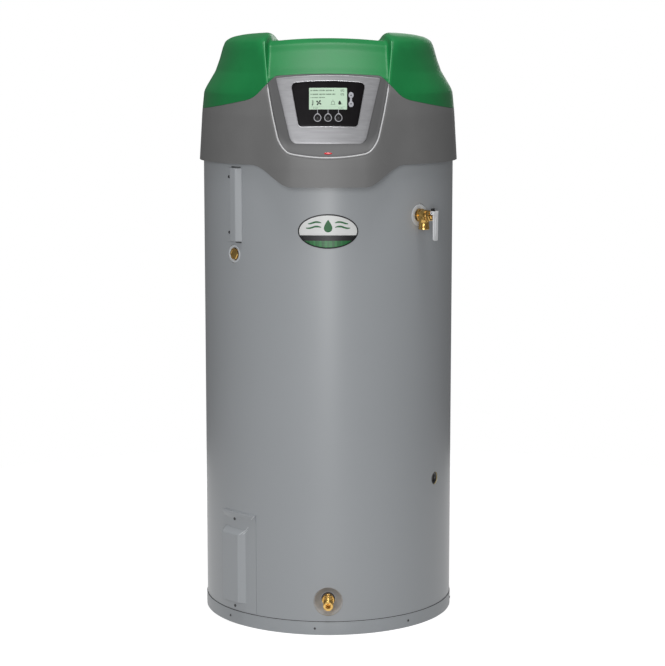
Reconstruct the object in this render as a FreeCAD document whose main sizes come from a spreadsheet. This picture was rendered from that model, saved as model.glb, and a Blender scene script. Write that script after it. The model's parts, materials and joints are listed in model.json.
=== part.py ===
"""Condensing gas tank water heater: a free-standing, top-fired storage heater.

Frame: origin on the floor under the tank's axis, +Z up, the display faces -Y, +X to its right.
Turns about the tank's axis are counted in degrees from the front, towards +X.
All lengths are millimetres. The driving sizes are the cells of the sheet "sizes".
"""

import FreeCAD, Part
import math
import os

import Sketcher
from FreeCAD import Placement, Rotation, Vector

doc = FreeCAD.newDocument("tank_water_heater")

SIZES = [
    # jacket, base and insulation
    ("jacket_radius", 352.4), ("jacket_wall", 1.0), ("jacket_top", 1296.0),
    ("base_height", 37.0), ("base_wall", 2.2), ("pan_floor", 3.0), ("pan_rim", 30.0),
    ("ring_screw_height", 18.5), ("ring_screw_turn", -6.0), ("ring_screw_count", 8),
    ("screw_head_radius", 4.4), ("screw_head_thick", 2.0), ("screw_shank_radius", 1.9),
    ("screw_shank_length", 7.0), ("screw_hole_radius", 2.1), ("lid_height", 1293.5), ("lid_thick", 2.0),
    # tank
    ("tank_radius", 300.0), ("tank_wall", 3.0), ("tank_top", 1200.0),
    ("head_rise", 70.0), ("head_flange", 8.0), ("top_head_height", 1180.0), ("bottom_head_height", 45.0),
    ("thread_radius", 13.3), ("spud_radius", 17.9), ("spud_gap", 0.1),
    # combustion and flue
    ("chamber_radius", 105.0), ("chamber_top", 1262.0), ("collector_radius", 205.0),
    ("collector_low", 575.0), ("collector_high", 640.0), ("sheet_wall", 3.0),
    ("coil_radius", 175.0), ("coil_pitch", 72.0), ("coil_turns", 4.25), ("coil_height", 240.0),
    ("flue_radius", 24.0), ("flue_wall", 2.5),
    ("vent_bore", 44.6), ("vent_socket_radius", 50.0), ("vent_tube_bore", 40.0), ("vent_axis_y", 430.0),
    ("vent_socket_top", 335.0), ("vent_socket_depth", 45.0), ("trap_radius", 18.0),
    ("trap_low", 110.0), ("elbow_start", 278.0), ("barb_height", 160.0),
    ("barb_radius", 8.0), ("barb_bore", 5.0), ("anode_radius", 11.0), ("anode_circle", 237.0),
    # burner, blower and gas train under the hood
    ("burner_radius", 55.0), ("burner_low", 960.0), ("flange_radius", 118.0), ("flange_thick", 12.0),
    ("blower_x", -75.0), ("blower_y", 60.0), ("blower_radius", 90.0), ("blower_low", 1345.0),
    ("blower_high", 1400.0), ("duct_half", 30.0), ("spigot_radius", 28.0), ("wheel_radius", 70.0),
    ("shaft_radius", 6.0), ("shaft_gap", 0.05), ("blade_count", 12), ("mixer_radius", 38.0),
    ("mixer_top", 1424.0), ("intake_height", 1470.0), ("intake_socket_radius", 52.0), ("intake_end", 392.0),
    ("gas_x", 150.0), ("gas_height", 1385.0), ("gas_pipe_radius", 10.65), ("gas_pipe_bore", 7.9),
    ("intake_pipe_radius", 43.0), ("intake_pipe_bore", 39.0), ("intake_socket_start", 318.0),
    ("intake_socket_floor", 347.0), ("motor_low", 1300.0), ("motor_radius", 42.0),
    ("valve_width", 70.0), ("valve_depth", 110.0), ("valve_low", 1350.0), ("valve_high", 1425.0),
    ("valve_front", 20.0), ("knob_y", 60.0), ("knob_radius", 17.0), ("knob_high", 1447.0),
    ("gas_pipe_start", 112.0), ("gas_pipe_end", 365.0), ("gas_thread_length", 34.0),
    ("box_x", -290.0), ("box_y", -80.0), ("box_low", 1297.0), ("box_width", 54.0), ("box_side", 170.0),
    ("box_wall", 2.0), ("cable_x", 70.0), ("cable_height", 1340.0), ("cable_bore", 5.5),
    # fittings on the jacket: height and turn of each
    ("drain_height", 95.0), ("drain_turn", 0.0), ("relief_height", 1151.0), ("relief_turn", 45.0),
    ("upper_tap_height", 1044.0), ("upper_tap_turn", -47.0),
    ("lower_tap_height", 405.5), ("lower_tap_turn", 58.0),
    ("cold_height", 260.0), ("cold_turn", -150.0), ("hot_height", 1130.0), ("hot_turn", -150.0),
    ("upper_probe_height", 1140.0), ("upper_probe_turn", -45.5),
    ("lower_probe_height", 200.0), ("lower_probe_turn", -47.0),
    ("drain_hole_radius", 40.3), ("relief_hole_radius", 31.0), ("tap_hole_radius", 25.3),
    ("cap_hole_radius", 17.8), ("nipple_hole_radius", 24.0), ("probe_hole_radius", 14.0),
    ("hose_thread_radius", 13.5), ("hose_thread_length", 26.0), ("relief_outlet_radius", 16.0),
    ("relief_outlet_bore", 12.2), ("lever_length", 80.0), ("lever_width", 19.0), ("lever_thick", 2.5),
    ("pin_radius", 2.0), ("pin_gap", 0.05), ("pin_up", 9.0), ("pin_out", 52.0), ("stem_radius", 3.0),
    # covers on the jacket
    ("channel_low", 1078.0), ("channel_high", 1281.0), ("channel_turn", -46.0), ("channel_proud", 12.0),
    ("access_low", 42.0), ("access_high", 322.0), ("access_turn", -45.0), ("access_proud", 18.0),
    ("badge_height", 1116.0), ("badge_half_width", 81.5), ("badge_half_height", 46.5), ("badge_thick", 1.5),
    # hood, recess and control panel
    ("hood_wall", 3.0), ("hood_gap", 0.5), ("hem_low", 1235.0), ("hem_high", 1298.0),
    ("hem_flat_half", 100.0), ("hem_wave_half", 205.0), ("valley_height", 1628.0),
    ("panel_low_y", -366.0), ("panel_low_z", 1348.0), ("panel_high_y", -318.0), ("panel_high_z", 1532.0),
    ("panel_curve_radius", 700.0), ("panel_thick", 2.5), ("panel_top_half", 140.5),
    ("panel_low_half", 98.0), ("panel_corner", 24.0), ("bezel_thick", 2.4), ("bezel_top_half", 98.0),
    ("bezel_low_half", 77.0), ("bezel_low", -45.0), ("bezel_high", 76.0), ("bezel_corner", 8.0),
    ("lens_half_width", 50.5), ("lens_low", 0.0), ("lens_high", 58.5), ("lens_thick", 1.4),
    ("key_radius", 10.2), ("key_pitch", 27.9), ("key_row", -22.5), ("arrow_radius", 7.0), ("arrow_x", 61.0),
    ("arrow_low", 15.5), ("arrow_high", 39.5), ("key_gap", 0.3), ("key_proud", 1.2), ("key_stem_radius", 4.0),
]

sheet = doc.addObject("Spreadsheet::Sheet", "sizes")
for row, (alias, number) in enumerate(SIZES, start=1):
    sheet.set(f"A{row}", alias)
    sheet.set(f"B{row}", str(number))
    sheet.setAlias(f"B{row}", alias)
doc.recompute()

nodes = []


def size(alias):
    """The number in a cell of the sheet."""
    return float(sheet.get(alias))


def bind(target, **expressions):
    """Tie properties of an object to expressions on the sheet."""
    for name, expression in expressions.items():
        target.setExpression(name, str(expression))


def keep(target, label, placement=None):
    """Name a finished sub-part, put it in place and list it for writing."""
    target.Label = label
    if placement is not None:
        target.Placement = placement
    nodes.append(target)
    return target


def on_jacket(turn, height):
    """A frame on the jacket: X to the right, Y up, Z straight out, origin on the jacket's surface."""
    facing = Rotation(Vector(0, 0, 1), turn).multiply(Rotation(Vector(1, 0, 0), 90))
    angle = math.radians(turn)
    radius = size("jacket_radius")
    return Placement(Vector(radius * math.sin(angle), -radius * math.cos(angle), height), facing)


def fitting_frame(name):
    """The jacket frame of a named fitting."""
    return on_jacket(size(name + "_turn"), size(name + "_height"))


# ---------------------------------------------------------------- ways of making a piece


def sketch_on(body, role):
    """An empty sketch on one of a body's own origin planes."""
    sketch = body.newObject("Sketcher::SketchObject", "Outline")
    plane = next(item for item in body.Origin.OriginFeatures if item.Role == role)
    sketch.AttachmentSupport = [(plane, "")]
    sketch.MapMode = "FlatFace"
    return sketch


def draw_outline(sketch, corners):
    """A closed outline whose corners are each tied to the origin by two expressions."""
    count = len(corners)
    start = [Vector(20 * math.cos(2 * math.pi * k / count), 20 * math.sin(2 * math.pi * k / count), 0)
             for k in range(count)]
    first = sketch.GeometryCount
    for k in range(count):
        sketch.addGeometry(Part.LineSegment(start[k], start[(k + 1) % count]), False)
    for k in range(count):
        after = first + (k + 1) % count
        sketch.addConstraint(Sketcher.Constraint("Coincident", first + k, 2, after, 1))
    for k, (across, along) in enumerate(corners):
        for kind, begin, expression in (("DistanceX", start[k].x, across), ("DistanceY", start[k].y, along)):
            index = sketch.addConstraint(Sketcher.Constraint(kind, -1, 1, first + k, 1, begin))
            sketch.setExpression(f"Constraints[{index}]", str(expression))


def turned(corners):
    """A body turned about its own Z axis from corners given as (radius, height)."""
    body = doc.addObject("PartDesign::Body", "Turned")
    sketch = sketch_on(body, "XZ_Plane")
    draw_outline(sketch, corners)
    feature = body.newObject("PartDesign::Revolution", "Revolution")
    feature.Profile = sketch
    feature.ReferenceAxis = (sketch, ["V_Axis"])
    feature.Angle = 360
    sketch.Visibility = False
    return body


def tube(outer, inner, low, high):
    """A turned tube between two heights."""
    return turned([(inner, low), (outer, low), (outer, high), (inner, high)])


def rod(radius, low, high):
    """A turned solid rod between two heights."""
    return turned([(0, low), (radius, low), (radius, high), (0, high)])


def cylinder(radius, length, at=Vector(), along=Vector(0, 0, 1)):
    """A cylinder whose radius and length are bound, starting at a point and running along a direction."""
    item = doc.addObject("Part::Cylinder", "Cylinder")
    bind(item, Radius=radius, Height=length)
    item.Placement = Placement(at, Rotation(Vector(0, 0, 1), along))
    return item


def block(width, depth, height, corner):
    """A box with bound sides and a given lowest corner."""
    item = doc.addObject("Part::Box", "Box")
    bind(item, Length=width, Width=depth, Height=height)
    item.Placement.Base = corner
    return item


def fuse(*items):
    item = doc.addObject("Part::MultiFuse", "Fusion")
    item.Shapes = list(items)
    return item


def cut(base, tool):
    item = doc.addObject("Part::Cut", "Cut")
    item.Base = base
    item.Tool = tool
    return item


def group(items):
    item = doc.addObject("Part::Compound", "Group")
    item.Links = list(items)
    return item


def shaped(label, shape, placement=None):
    """A sub-part whose surface is worked out in code from the sheet's sizes."""
    return keep(put_shape(shape), label, placement)


def put_shape(shape):
    item = doc.addObject("Part::Feature", "Shape")
    item.Shape = shape
    return item


def placed(item, placement):
    item.Placement = placement
    return item


def radial_hole(name, radius, depth=120):
    """A drill that passes outwards through the jacket at a fitting, down to the given depth."""
    frame = fitting_frame(name)
    drill = cylinder(radius, depth + 40)
    drill.Placement = frame.multiply(Placement(Vector(0, 0, -depth), Rotation()))
    return drill


def rear_hole(x, height, radius, start):
    """A drill that leaves through the back, parallel to +Y."""
    return cylinder(radius, 300, Vector(x, start, height), Vector(0, 1, 0))


# ---------------------------------------------------------------- base


def base():
    """The pan that the tank stands on, the skirt ring round it, and the eight screws between them."""
    turn = Placement(Vector(), Rotation(Vector(0, 0, 1), size("ring_screw_turn")))
    pan_radius = "(sizes.jacket_radius - 1.4)"
    pan = turned([(0, 0), (pan_radius, 0), (pan_radius, "sizes.pan_rim"),
                  (pan_radius + " - 2", "sizes.pan_rim"), (pan_radius + " - 2", "sizes.pan_floor"),
                  (0, "sizes.pan_floor")])
    keep(drill_ring(pan), "base_pan", turn)
    inner = "(sizes.jacket_radius - 1.2)"
    outer = inner + " + sizes.base_wall"
    lip = "sizes.base_height - 4"
    ring = turned([(inner, 0), (outer, 0), (outer, lip), (outer + " + 1", lip + " + 1"),
                   (outer + " + 1", "sizes.base_height"), (inner, "sizes.base_height")])
    keep(drill_ring(ring), "base_ring", turn)
    seats = []
    for k in range(int(size("ring_screw_count"))):
        angle = size("ring_screw_turn") + k * 360 / size("ring_screw_count")
        frame = on_jacket(angle, size("ring_screw_height"))
        seats.append(frame.multiply(Placement(Vector(0, 0, size("base_wall") - 1.2), Rotation())))
    keep(group([screw(seat) for seat in seats]), "base_ring_screws")


def drill_ring(body):
    """Eight screw holes through an upright wall, cut once and repeated round the axis."""
    sketch = sketch_on(body, "XZ_Plane")
    sketch.addGeometry(Part.Circle(Vector(0, 10, 0), Vector(0, 0, 1), 2), False)
    sketch.addConstraint(Sketcher.Constraint("PointOnObject", 0, 3, -2))
    rise = sketch.addConstraint(Sketcher.Constraint("DistanceY", -1, 1, 0, 3, 10))
    sketch.setExpression(f"Constraints[{rise}]", "sizes.ring_screw_height")
    round_size = sketch.addConstraint(Sketcher.Constraint("Radius", 0, 2))
    sketch.setExpression(f"Constraints[{round_size}]", "sizes.screw_hole_radius")
    doc.recompute()
    whole = body.Shape.Volume
    pocket = body.newObject("PartDesign::Pocket", "ScrewHole")
    pocket.Profile = sketch
    pocket.Length = 400
    doc.recompute()
    if body.Shape.Volume >= whole:
        pocket.Reversed = True
    pattern = body.newObject("PartDesign::PolarPattern", "ScrewHoles")
    pattern.Originals = [pocket]
    axis = next(item for item in body.Origin.OriginFeatures if item.Role == "Z_Axis")
    pattern.Axis = (axis, [""])
    pattern.Angle = 360
    bind(pattern, Occurrences="sizes.ring_screw_count")
    body.Tip = pattern
    doc.recompute()
    if body.Shape.Volume >= whole:
        raise RuntimeError("the screw holes cut nothing")
    return body


def screw(frame):
    """A pan-head sheet screw whose head's underside is at the frame's origin."""
    head = cylinder("sizes.screw_head_radius", "sizes.screw_head_thick")
    shank = cylinder("sizes.screw_shank_radius", "sizes.screw_shank_length + 0.5")
    shank.Placement.Base.z = -size("screw_shank_length")
    return placed(fuse(head, shank), frame)


# ---------------------------------------------------------------- tank, insulation and jacket

SPUDS = ["drain", "relief", "upper_tap", "lower_tap", "cold", "hot", "upper_probe", "lower_probe"]


def jacket():
    """The painted outer cylinder, its lid, and the foam between it and the tank."""
    shell = tube("sizes.jacket_radius", "sizes.jacket_radius - sizes.jacket_wall",
                 "sizes.base_height + 0.3", "sizes.jacket_top")
    holes = [("drain", "sizes.drain_hole_radius"), ("relief", "sizes.relief_hole_radius"),
             ("upper_tap", "sizes.tap_hole_radius"), ("lower_tap", "sizes.cap_hole_radius"),
             ("cold", "sizes.nipple_hole_radius"), ("hot", "sizes.nipple_hole_radius"),
             ("upper_probe", "sizes.probe_hole_radius"), ("lower_probe", "sizes.probe_hole_radius")]
    drills = [radial_hole(name, radius, 20) for name, radius in holes]
    vent = rear_hole(size("coil_radius"), size("coil_height"), "sizes.vent_socket_radius + 1", 200)
    keep(cut(shell, fuse(*drills, vent)), "outer_jacket")

    wide = "sizes.tank_radius + 0.3"
    outer = "sizes.jacket_radius - sizes.jacket_wall - 0.3"
    foam = turned([(wide, 40), (outer, 40), (outer, "sizes.lid_height - 0.5"),
                   (130, "sizes.lid_height - 0.5"), (130, "sizes.chamber_top"),
                   (wide, "sizes.tank_top + 10")])
    drills = [radial_hole(name, radius, 60 if name != "drain" else 34) for name, radius in holes]
    necks = [radial_hole(name, "sizes.spud_radius + 1", 60) for name in SPUDS]
    vent = rear_hole(size("coil_radius"), size("coil_height"), "sizes.vent_socket_radius + 1", 200)
    keep(cut(foam, fuse(*drills, *necks, vent)), "foam_insulation")

    lid_outer = "sizes.jacket_radius - sizes.jacket_wall - 0.2"
    keep(tube(lid_outer, "sizes.flange_radius + 0.5", "sizes.lid_height", "sizes.lid_height + sizes.lid_thick"),
         "top_pan")


def tank():
    """The pressure vessel: shell, two dished heads, welded couplings, and the rods that protect it."""
    shell = tube("sizes.tank_radius", "sizes.tank_radius - sizes.tank_wall", "sizes.pan_floor", "sizes.tank_top")
    drills = [radial_hole(name, "sizes.spud_radius + 0.1", 75) for name in SPUDS]
    flue = rear_hole(size("coil_radius"), size("coil_height"), "sizes.flue_radius + 1.3", 100)
    keep(cut(shell, fuse(*drills, flue)), "tank_shell")

    top = dished_head("sizes.top_head_height")
    throat = cylinder("sizes.chamber_radius + 0.2", 200, Vector(0, 0, size("top_head_height") - 50))
    rods = [cylinder("sizes.anode_radius + 0.3", 200, place) for place in anode_places(size("top_head_height") - 50)]
    keep(cut(top, fuse(throat, *rods)), "top_head")
    keep(dished_head("sizes.bottom_head_height"), "bottom_head")

    couplings = []
    for name in SPUDS:
        ring = tube("sizes.spud_radius", "sizes.thread_radius + sizes.spud_gap", -60, -40)
        couplings.append(placed(ring, fitting_frame(name)))
    keep(group(couplings), "tank_spuds")
    anodes = [cylinder("sizes.anode_radius", 945, place) for place in anode_places(280)]
    keep(group(anodes), "anode_rods")


def anode_places(height):
    """Two places on one circle, clear of the coil, either side of the blower."""
    spot = size("anode_circle") / math.sqrt(2)
    return [Vector(spot, spot, height), Vector(-spot, spot, height)]


def dished_head(height):
    """Half an ellipsoid shell that bulges upwards over a short straight flange."""
    def dome(rise, radius):
        item = doc.addObject("Part::Ellipsoid", "Dome")
        bind(item, Radius1=rise, Radius2=radius, Radius3=radius, Angle1=0)
        item.setExpression("Placement.Base.z", height)
        return item
    edge = "sizes.tank_radius - sizes.tank_wall - 0.1"
    shell = cut(dome("sizes.head_rise", edge), dome("sizes.head_rise - 3", edge + " - 3"))
    flange = tube(edge, edge + " - 3", f"{height} - sizes.head_flange", f"{height} + 0.01")
    return fuse(shell, flange)


def fittings():
    """What is screwed into the tank's couplings, apart from the two valves."""
    thread = "sizes.thread_radius"
    for name, label in (("cold", "cold_inlet_nipple"), ("hot", "hot_outlet_nipple")):
        relieved = thread + " - 0.4"
        bore = thread + " - 2.9"
        keep(turned([(bore, -60), (thread, -60), (thread, -38), (relieved, -38), (relieved, 4), (thread, 4),
                     (thread, 38), (bore, 38)]), label, fitting_frame(name))

    plug = turned([(0, -60), (thread, -60), (thread, -14), (0, -14)])
    head = doc.addObject("Part::Prism", "HexHead")
    bind(head, Polygon=6, Circumradius=16.6, Height=16)
    head.Placement.Base.z = -14.2
    keep(fuse(plug, head), "upper_tap_plug", fitting_frame("upper_tap"))

    keep(turned([(0, -60), (thread, -60), (thread, -8), ("sizes.cap_hole_radius - 0.5", -8),
                 ("sizes.cap_hole_radius - 0.5", -3), (11, -3), (9, -6), (0, -6)]),
         "lower_tap_cap", fitting_frame("lower_tap"))

    dams = [("relief", "sizes.relief_hole_radius - 0.3", "sizes.relief_outlet_radius + 1"),
            ("upper_tap", "sizes.tap_hole_radius - 0.3", 17.4)]
    rings = []
    for name, outer, inner in dams:
        ring = turned([(inner, -9), (outer, -9), (outer, -2.4), (outer + " - 1.6", -1.2),
                       (f"{inner} + 1.6", -1.2), (inner, -2.8)])
        rings.append(placed(ring, fitting_frame(name)))
    keep(group(rings), "foam_dam_rings")

    probes = []
    for name in ("upper_probe", "lower_probe"):
        probe = turned([(0, -150), (4, -150), (4, -62), (thread, -62), (thread, -38), (12, -38),
                        (12, -26), (5, -26), (5, -16), (0, -16)])
        probes.append(placed(probe, fitting_frame(name)))
    keep(group(probes), "temperature_probes")


# ---------------------------------------------------------------- combustion and flue


def combustion():
    """The chamber that hangs in the water, and the coil that carries the flue gas down through it."""
    radius = "sizes.chamber_radius"
    wall = "sizes.sheet_wall"
    wide = "sizes.collector_radius"
    low = "sizes.collector_low"
    high = "sizes.collector_high"
    keep(turned([(0, low), (wide, low), (wide, high), (radius, high), (radius, "sizes.chamber_top"),
                 (f"{radius} - {wall}", "sizes.chamber_top"), (f"{radius} - {wall}", f"{high} - {wall}"),
                 (f"{wide} - {wall}", f"{high} - {wall}"), (f"{wide} - {wall}", f"{low} + {wall}"),
                 (0, f"{low} + {wall}")]), "combustion_chamber")
    shaped("heat_exchanger_coil", flue_coil())

    length = 310
    start = Vector(size("coil_radius"), -2, size("coil_height"))
    back = Vector(0, 1, 0)
    outer = cylinder("sizes.flue_radius", length, start, back)
    bore = cylinder("sizes.flue_radius - sizes.flue_wall", length + 20, start - back * 10, back)
    keep(cut(outer, bore), "flue_outlet_pipe")


def flue_coil():
    """A left-hand helix of round tube with a short riser into the collector at its upper end."""
    height = size("coil_pitch") * size("coil_turns")
    radius = size("coil_radius")
    path = Part.Wire(Part.makeHelix(size("coil_pitch"), height, radius, 0, True).Edges)
    last = math.radians(-360 * size("coil_turns"))
    riser_foot = Vector(radius * math.cos(last), radius * math.sin(last), height)
    riser_length = size("collector_low") + 1 - size("coil_height") - height

    def solid(tube_radius):
        ring = Part.Wire(Part.Circle(Vector(radius, 0, 0), Vector(0, 1, 0), tube_radius).toShape())
        turns = path.makePipeShell([ring], True, True)
        riser = Part.makeCylinder(tube_radius, riser_length, riser_foot)
        elbow = Part.makeSphere(tube_radius, riser_foot)
        return turns.fuse([riser, elbow])

    coil = solid(size("flue_radius")).cut(solid(size("flue_radius") - size("flue_wall")))
    coil.translate(Vector(0, 0, size("coil_height")))
    return coil


def exhaust():
    """The plastic elbow at the back that turns the flue up, and the condensate trap under it."""
    x = size("coil_radius")
    height = size("coil_height")
    back = size("vent_axis_y")
    start = size("elbow_start")
    drop = "sizes.vent_socket_top - sizes.coil_height"
    corner = Vector(x, back, height)

    def ball(radius):
        item = doc.addObject("Part::Sphere", "Elbow")
        bind(item, Radius=radius)
        item.Placement.Base = corner
        return item

    socket = "sizes.vent_socket_radius"
    bore = "sizes.vent_tube_bore"
    outside = fuse(cylinder(socket, f"sizes.vent_axis_y - {start}", Vector(x, start, height), Vector(0, 1, 0)),
                   ball(socket), cylinder(socket, drop, corner))
    mouth = Vector(x, back, size("vent_socket_top") - size("vent_socket_depth"))
    drain = cylinder(6, 70, corner - Vector(0, 0, 70))
    inside = fuse(cylinder(bore, f"sizes.vent_axis_y - {start} + 10", Vector(x, start - 10, height), Vector(0, 1, 0)),
                  ball(bore), cylinder(bore, drop + " + 10", corner),
                  cylinder("sizes.vent_bore", "sizes.vent_socket_depth + 10", mouth), drain)
    keep(cut(outside, inside), "exhaust_elbow")

    low = size("trap_low")
    top = height - size("vent_socket_radius") + 3.0
    seat = fuse(ball(socket + " + 0.05"),
                cylinder(socket + " + 0.05", 60, corner - Vector(0, 60, 0), Vector(0, 1, 0)))
    cup = cut(cylinder("sizes.trap_radius", top - low, Vector(x, back, low)), seat)
    well = cylinder("sizes.trap_radius - 3", top - low - 8, Vector(x, back, low + 3))
    out = Vector(1, 0, 0)
    barb_start = Vector(x + size("trap_radius") - 4, back, size("barb_height"))
    barb = fuse(cylinder("sizes.barb_radius - 0.6", 20, barb_start, out),
                cylinder("sizes.barb_radius", 28, barb_start + out * 6, out))
    barb_bore = cylinder("sizes.barb_bore", 60, barb_start - out * 10, out)
    weep = cylinder(6, 20, Vector(x, back, top - 12))
    keep(cut(fuse(cup, barb), fuse(well, barb_bore, weep)), "condensate_trap")


# ---------------------------------------------------------------- burner, blower and gas train


def burner():
    """The down-fired premix burner, its flange, the spark igniter and the flame sensor."""
    radius = "sizes.burner_radius"
    top = "sizes.chamber_top"
    keep(turned([(0, "sizes.burner_low"), (radius, "sizes.burner_low"), (radius, top),
                 (radius + " - 3", top), (radius + " - 3", "sizes.burner_low + 3"),
                 (0, "sizes.burner_low + 3")]), "burner")
    flange = tube("sizes.flange_radius", "sizes.spigot_radius + 0.2", top, top + " + sizes.flange_thick")
    spots = {"igniter": Vector(62, -50, 0), "flame_sensor": Vector(-30, -73, 0)}
    drills = [cylinder(6.2, 60, spot + Vector(0, 0, size("chamber_top") - 20)) for spot in spots.values()]
    keep(cut(flange, fuse(*drills)), "burner_flange")
    for label, spot in spots.items():
        probe = turned([(0, 1150), (2, 1150), (2, 1220), (6, 1220), (6, 1274.2), (9, 1274.2), (9, 1284),
                        (5, 1284), (5, 1312), (0, 1312)])
        keep(probe, label, Placement(spot, Rotation()))


def blower():
    """The combustion blower: housing with its outlet duct, motor below it, and the wheel inside."""
    axis = Vector(size("blower_x"), size("blower_y"), 0)
    low = size("blower_low")
    half = size("duct_half")
    wall = 3

    def cavity(inset, floor, roof, spigot, spigot_low):
        """The volute, its duct and the spigot, all drawn in by the inset."""
        volute = cylinder(f"sizes.blower_radius - {inset}", roof - floor, axis + Vector(0, 0, floor))
        corner = Vector(size("blower_x"), -half + inset, floor)
        duct = block(f"sizes.duct_half - sizes.blower_x + 2 - {inset}", f"2 * (sizes.duct_half - {inset})",
                     roof - floor, corner)
        neck = cylinder(spigot, low + 4 - spigot_low, Vector(0, 0, spigot_low))
        return fuse(volute, duct, neck)

    high = size("blower_high")
    outside = cavity(0, low, high, "sizes.spigot_radius", size("chamber_top") + size("flange_thick") + 0.2)
    inside = cavity(wall, low + wall, high - wall, "sizes.spigot_radius - 3", size("chamber_top"))
    inlet = cylinder("sizes.mixer_radius - 4", 30, axis + Vector(0, 0, high - 15))
    shaft_hole = cylinder("sizes.shaft_radius + sizes.shaft_gap", 20, axis + Vector(0, 0, low - 10))
    keep(cut(outside, fuse(inside, inlet, shaft_hole)), "blower_housing")

    motor = turned([(0, "sizes.motor_low"), ("sizes.motor_radius - 12", "sizes.motor_low"),
                    ("sizes.motor_radius", "sizes.motor_low + 6"), ("sizes.motor_radius", "sizes.blower_low - 0.1"),
                    ("sizes.shaft_radius + sizes.shaft_gap", "sizes.blower_low - 0.1"),
                    ("sizes.shaft_radius + sizes.shaft_gap", "sizes.motor_low + 26"), (0, "sizes.motor_low + 26")])
    keep(motor, "blower_motor", Placement(axis, Rotation()))

    disc_low = low + 7
    shaft_low = "sizes.motor_low + 28"
    hub = turned([(0, shaft_low), ("sizes.shaft_radius", shaft_low), ("sizes.shaft_radius", disc_low),
                  ("sizes.wheel_radius", disc_low), ("sizes.wheel_radius", disc_low + 2.5),
                  (12, disc_low + 2.5), (12, disc_low + 22), (0, disc_low + 22)])
    blades = []
    count = int(size("blade_count"))
    root = 38
    blade_lean = 28
    for k in range(count):
        blade = block(f"sizes.wheel_radius - {root}", 2, 30, Vector(0, 0, disc_low + 2))
        turn = Rotation(Vector(0, 0, 1), 360 * k / count)
        lean = Rotation(Vector(0, 0, 1), 360 * k / count + blade_lean)
        blade.Placement = Placement(turn.multVec(Vector(root, 0, disc_low + 2)), lean)
        blades.append(blade)
    keep(fuse(hub, *blades), "blower_impeller", Placement(axis, Rotation()))


def gas_train():
    """Mixer, the pipe that brings in combustion air, and the gas valve with its pipe."""
    axis = Vector(size("blower_x"), size("blower_y"), 0)
    mixer_low = size("blower_high") + 0.2
    feed_height = 1412.0
    right = Vector(1, 0, 0)
    throat = cylinder("sizes.mixer_radius", f"sizes.mixer_top - {mixer_low}", axis + Vector(0, 0, mixer_low))
    feed_start = Vector(size("blower_x") + 36, size("blower_y"), feed_height)
    feed = cylinder(5, 153.8, feed_start, right)
    bore = cylinder("sizes.mixer_radius - 4", 60, axis + Vector(0, 0, mixer_low - 10))
    keep(cut(fuse(throat, feed), bore), "gas_air_mixer")

    height = size("intake_height")
    bend = Vector(size("blower_x"), size("blower_y"), height)
    back = Vector(0, 1, 0)

    def pipe(radius, rise, length):
        stem = cylinder(radius, f"sizes.intake_height - {rise}", axis + Vector(0, 0, rise))
        run = cylinder(radius, length, bend, back)
        knee = doc.addObject("Part::Sphere", "Knee")
        bind(knee, Radius=radius)
        knee.Placement.Base = bend
        return fuse(stem, run, knee)

    socket_start = Vector(size("blower_x"), size("intake_socket_start"), height)
    socket_floor = Vector(size("blower_x"), size("intake_socket_floor"), height)
    outside = fuse(pipe("sizes.intake_pipe_radius", size("mixer_top") + 0.2,
                        "sizes.intake_end - sizes.blower_y - 20"),
                   cylinder("sizes.intake_socket_radius", "sizes.intake_end - sizes.intake_socket_start",
                            socket_start, back))
    inside = fuse(pipe("sizes.intake_pipe_bore", size("mixer_top") - 10, "sizes.intake_end - sizes.blower_y"),
                  cylinder("sizes.vent_bore", 80, socket_floor, back))
    keep(cut(outside, inside), "air_intake_pipe")

    gas_valve()
    gas_pipe()
    control_box()


def gas_valve():
    """The gas valve's cast housing and the knob on its turret."""
    x = size("gas_x")
    knob_y = size("knob_y")
    valve_top = size("valve_high")
    corner = Vector(x - size("valve_width") / 2, size("valve_front"), size("valve_low"))
    housing = block("sizes.valve_width", "sizes.valve_depth", "sizes.valve_high - sizes.valve_low", corner)
    turret = cylinder(20, 6, Vector(x, knob_y, valve_top))
    knob_hole = cylinder("5 + sizes.shaft_gap", 20, Vector(x, knob_y, valve_top - 12))
    pipe_start = Vector(x, size("gas_pipe_start"), size("gas_height"))
    gas_bore = cylinder("sizes.gas_pipe_radius - 0.3", 30, pipe_start, Vector(0, 1, 0))
    keep(cut(fuse(housing, turret), fuse(knob_hole, gas_bore)), "gas_valve")
    shaft_end = "sizes.valve_high - 11"
    skirt = "sizes.valve_high + 6.3"
    knob = turned([(0, shaft_end), (5, shaft_end), (5, skirt), ("sizes.knob_radius", skirt),
                   ("sizes.knob_radius", "sizes.knob_high - 3"), ("sizes.knob_radius - 3", "sizes.knob_high"),
                   (0, "sizes.knob_high")])
    grip = block("2 * sizes.knob_radius - 6", 6, 9, Vector(-size("knob_radius") + 3, -3, size("knob_high") - 1))
    keep(fuse(knob, grip), "gas_valve_knob", Placement(Vector(x, knob_y, 0), Rotation()))


def gas_pipe():
    """The steel pipe from the gas valve out through the back, threaded at its outer end."""
    back = Vector(0, 1, 0)
    start = Vector(size("gas_x"), size("gas_pipe_start"), size("gas_height"))
    thread_start = Vector(size("gas_x"), size("gas_pipe_end") - size("gas_thread_length"), size("gas_height"))
    length = "sizes.gas_pipe_end - sizes.gas_pipe_start"
    pipe = fuse(cylinder("sizes.gas_pipe_radius - 0.35", length, start, back),
                cylinder("sizes.gas_pipe_radius", "sizes.gas_thread_length", thread_start, back))
    keep(cut(pipe, cylinder("sizes.gas_pipe_bore", length + " + 20", start - back * 10, back)), "gas_inlet_pipe")


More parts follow.
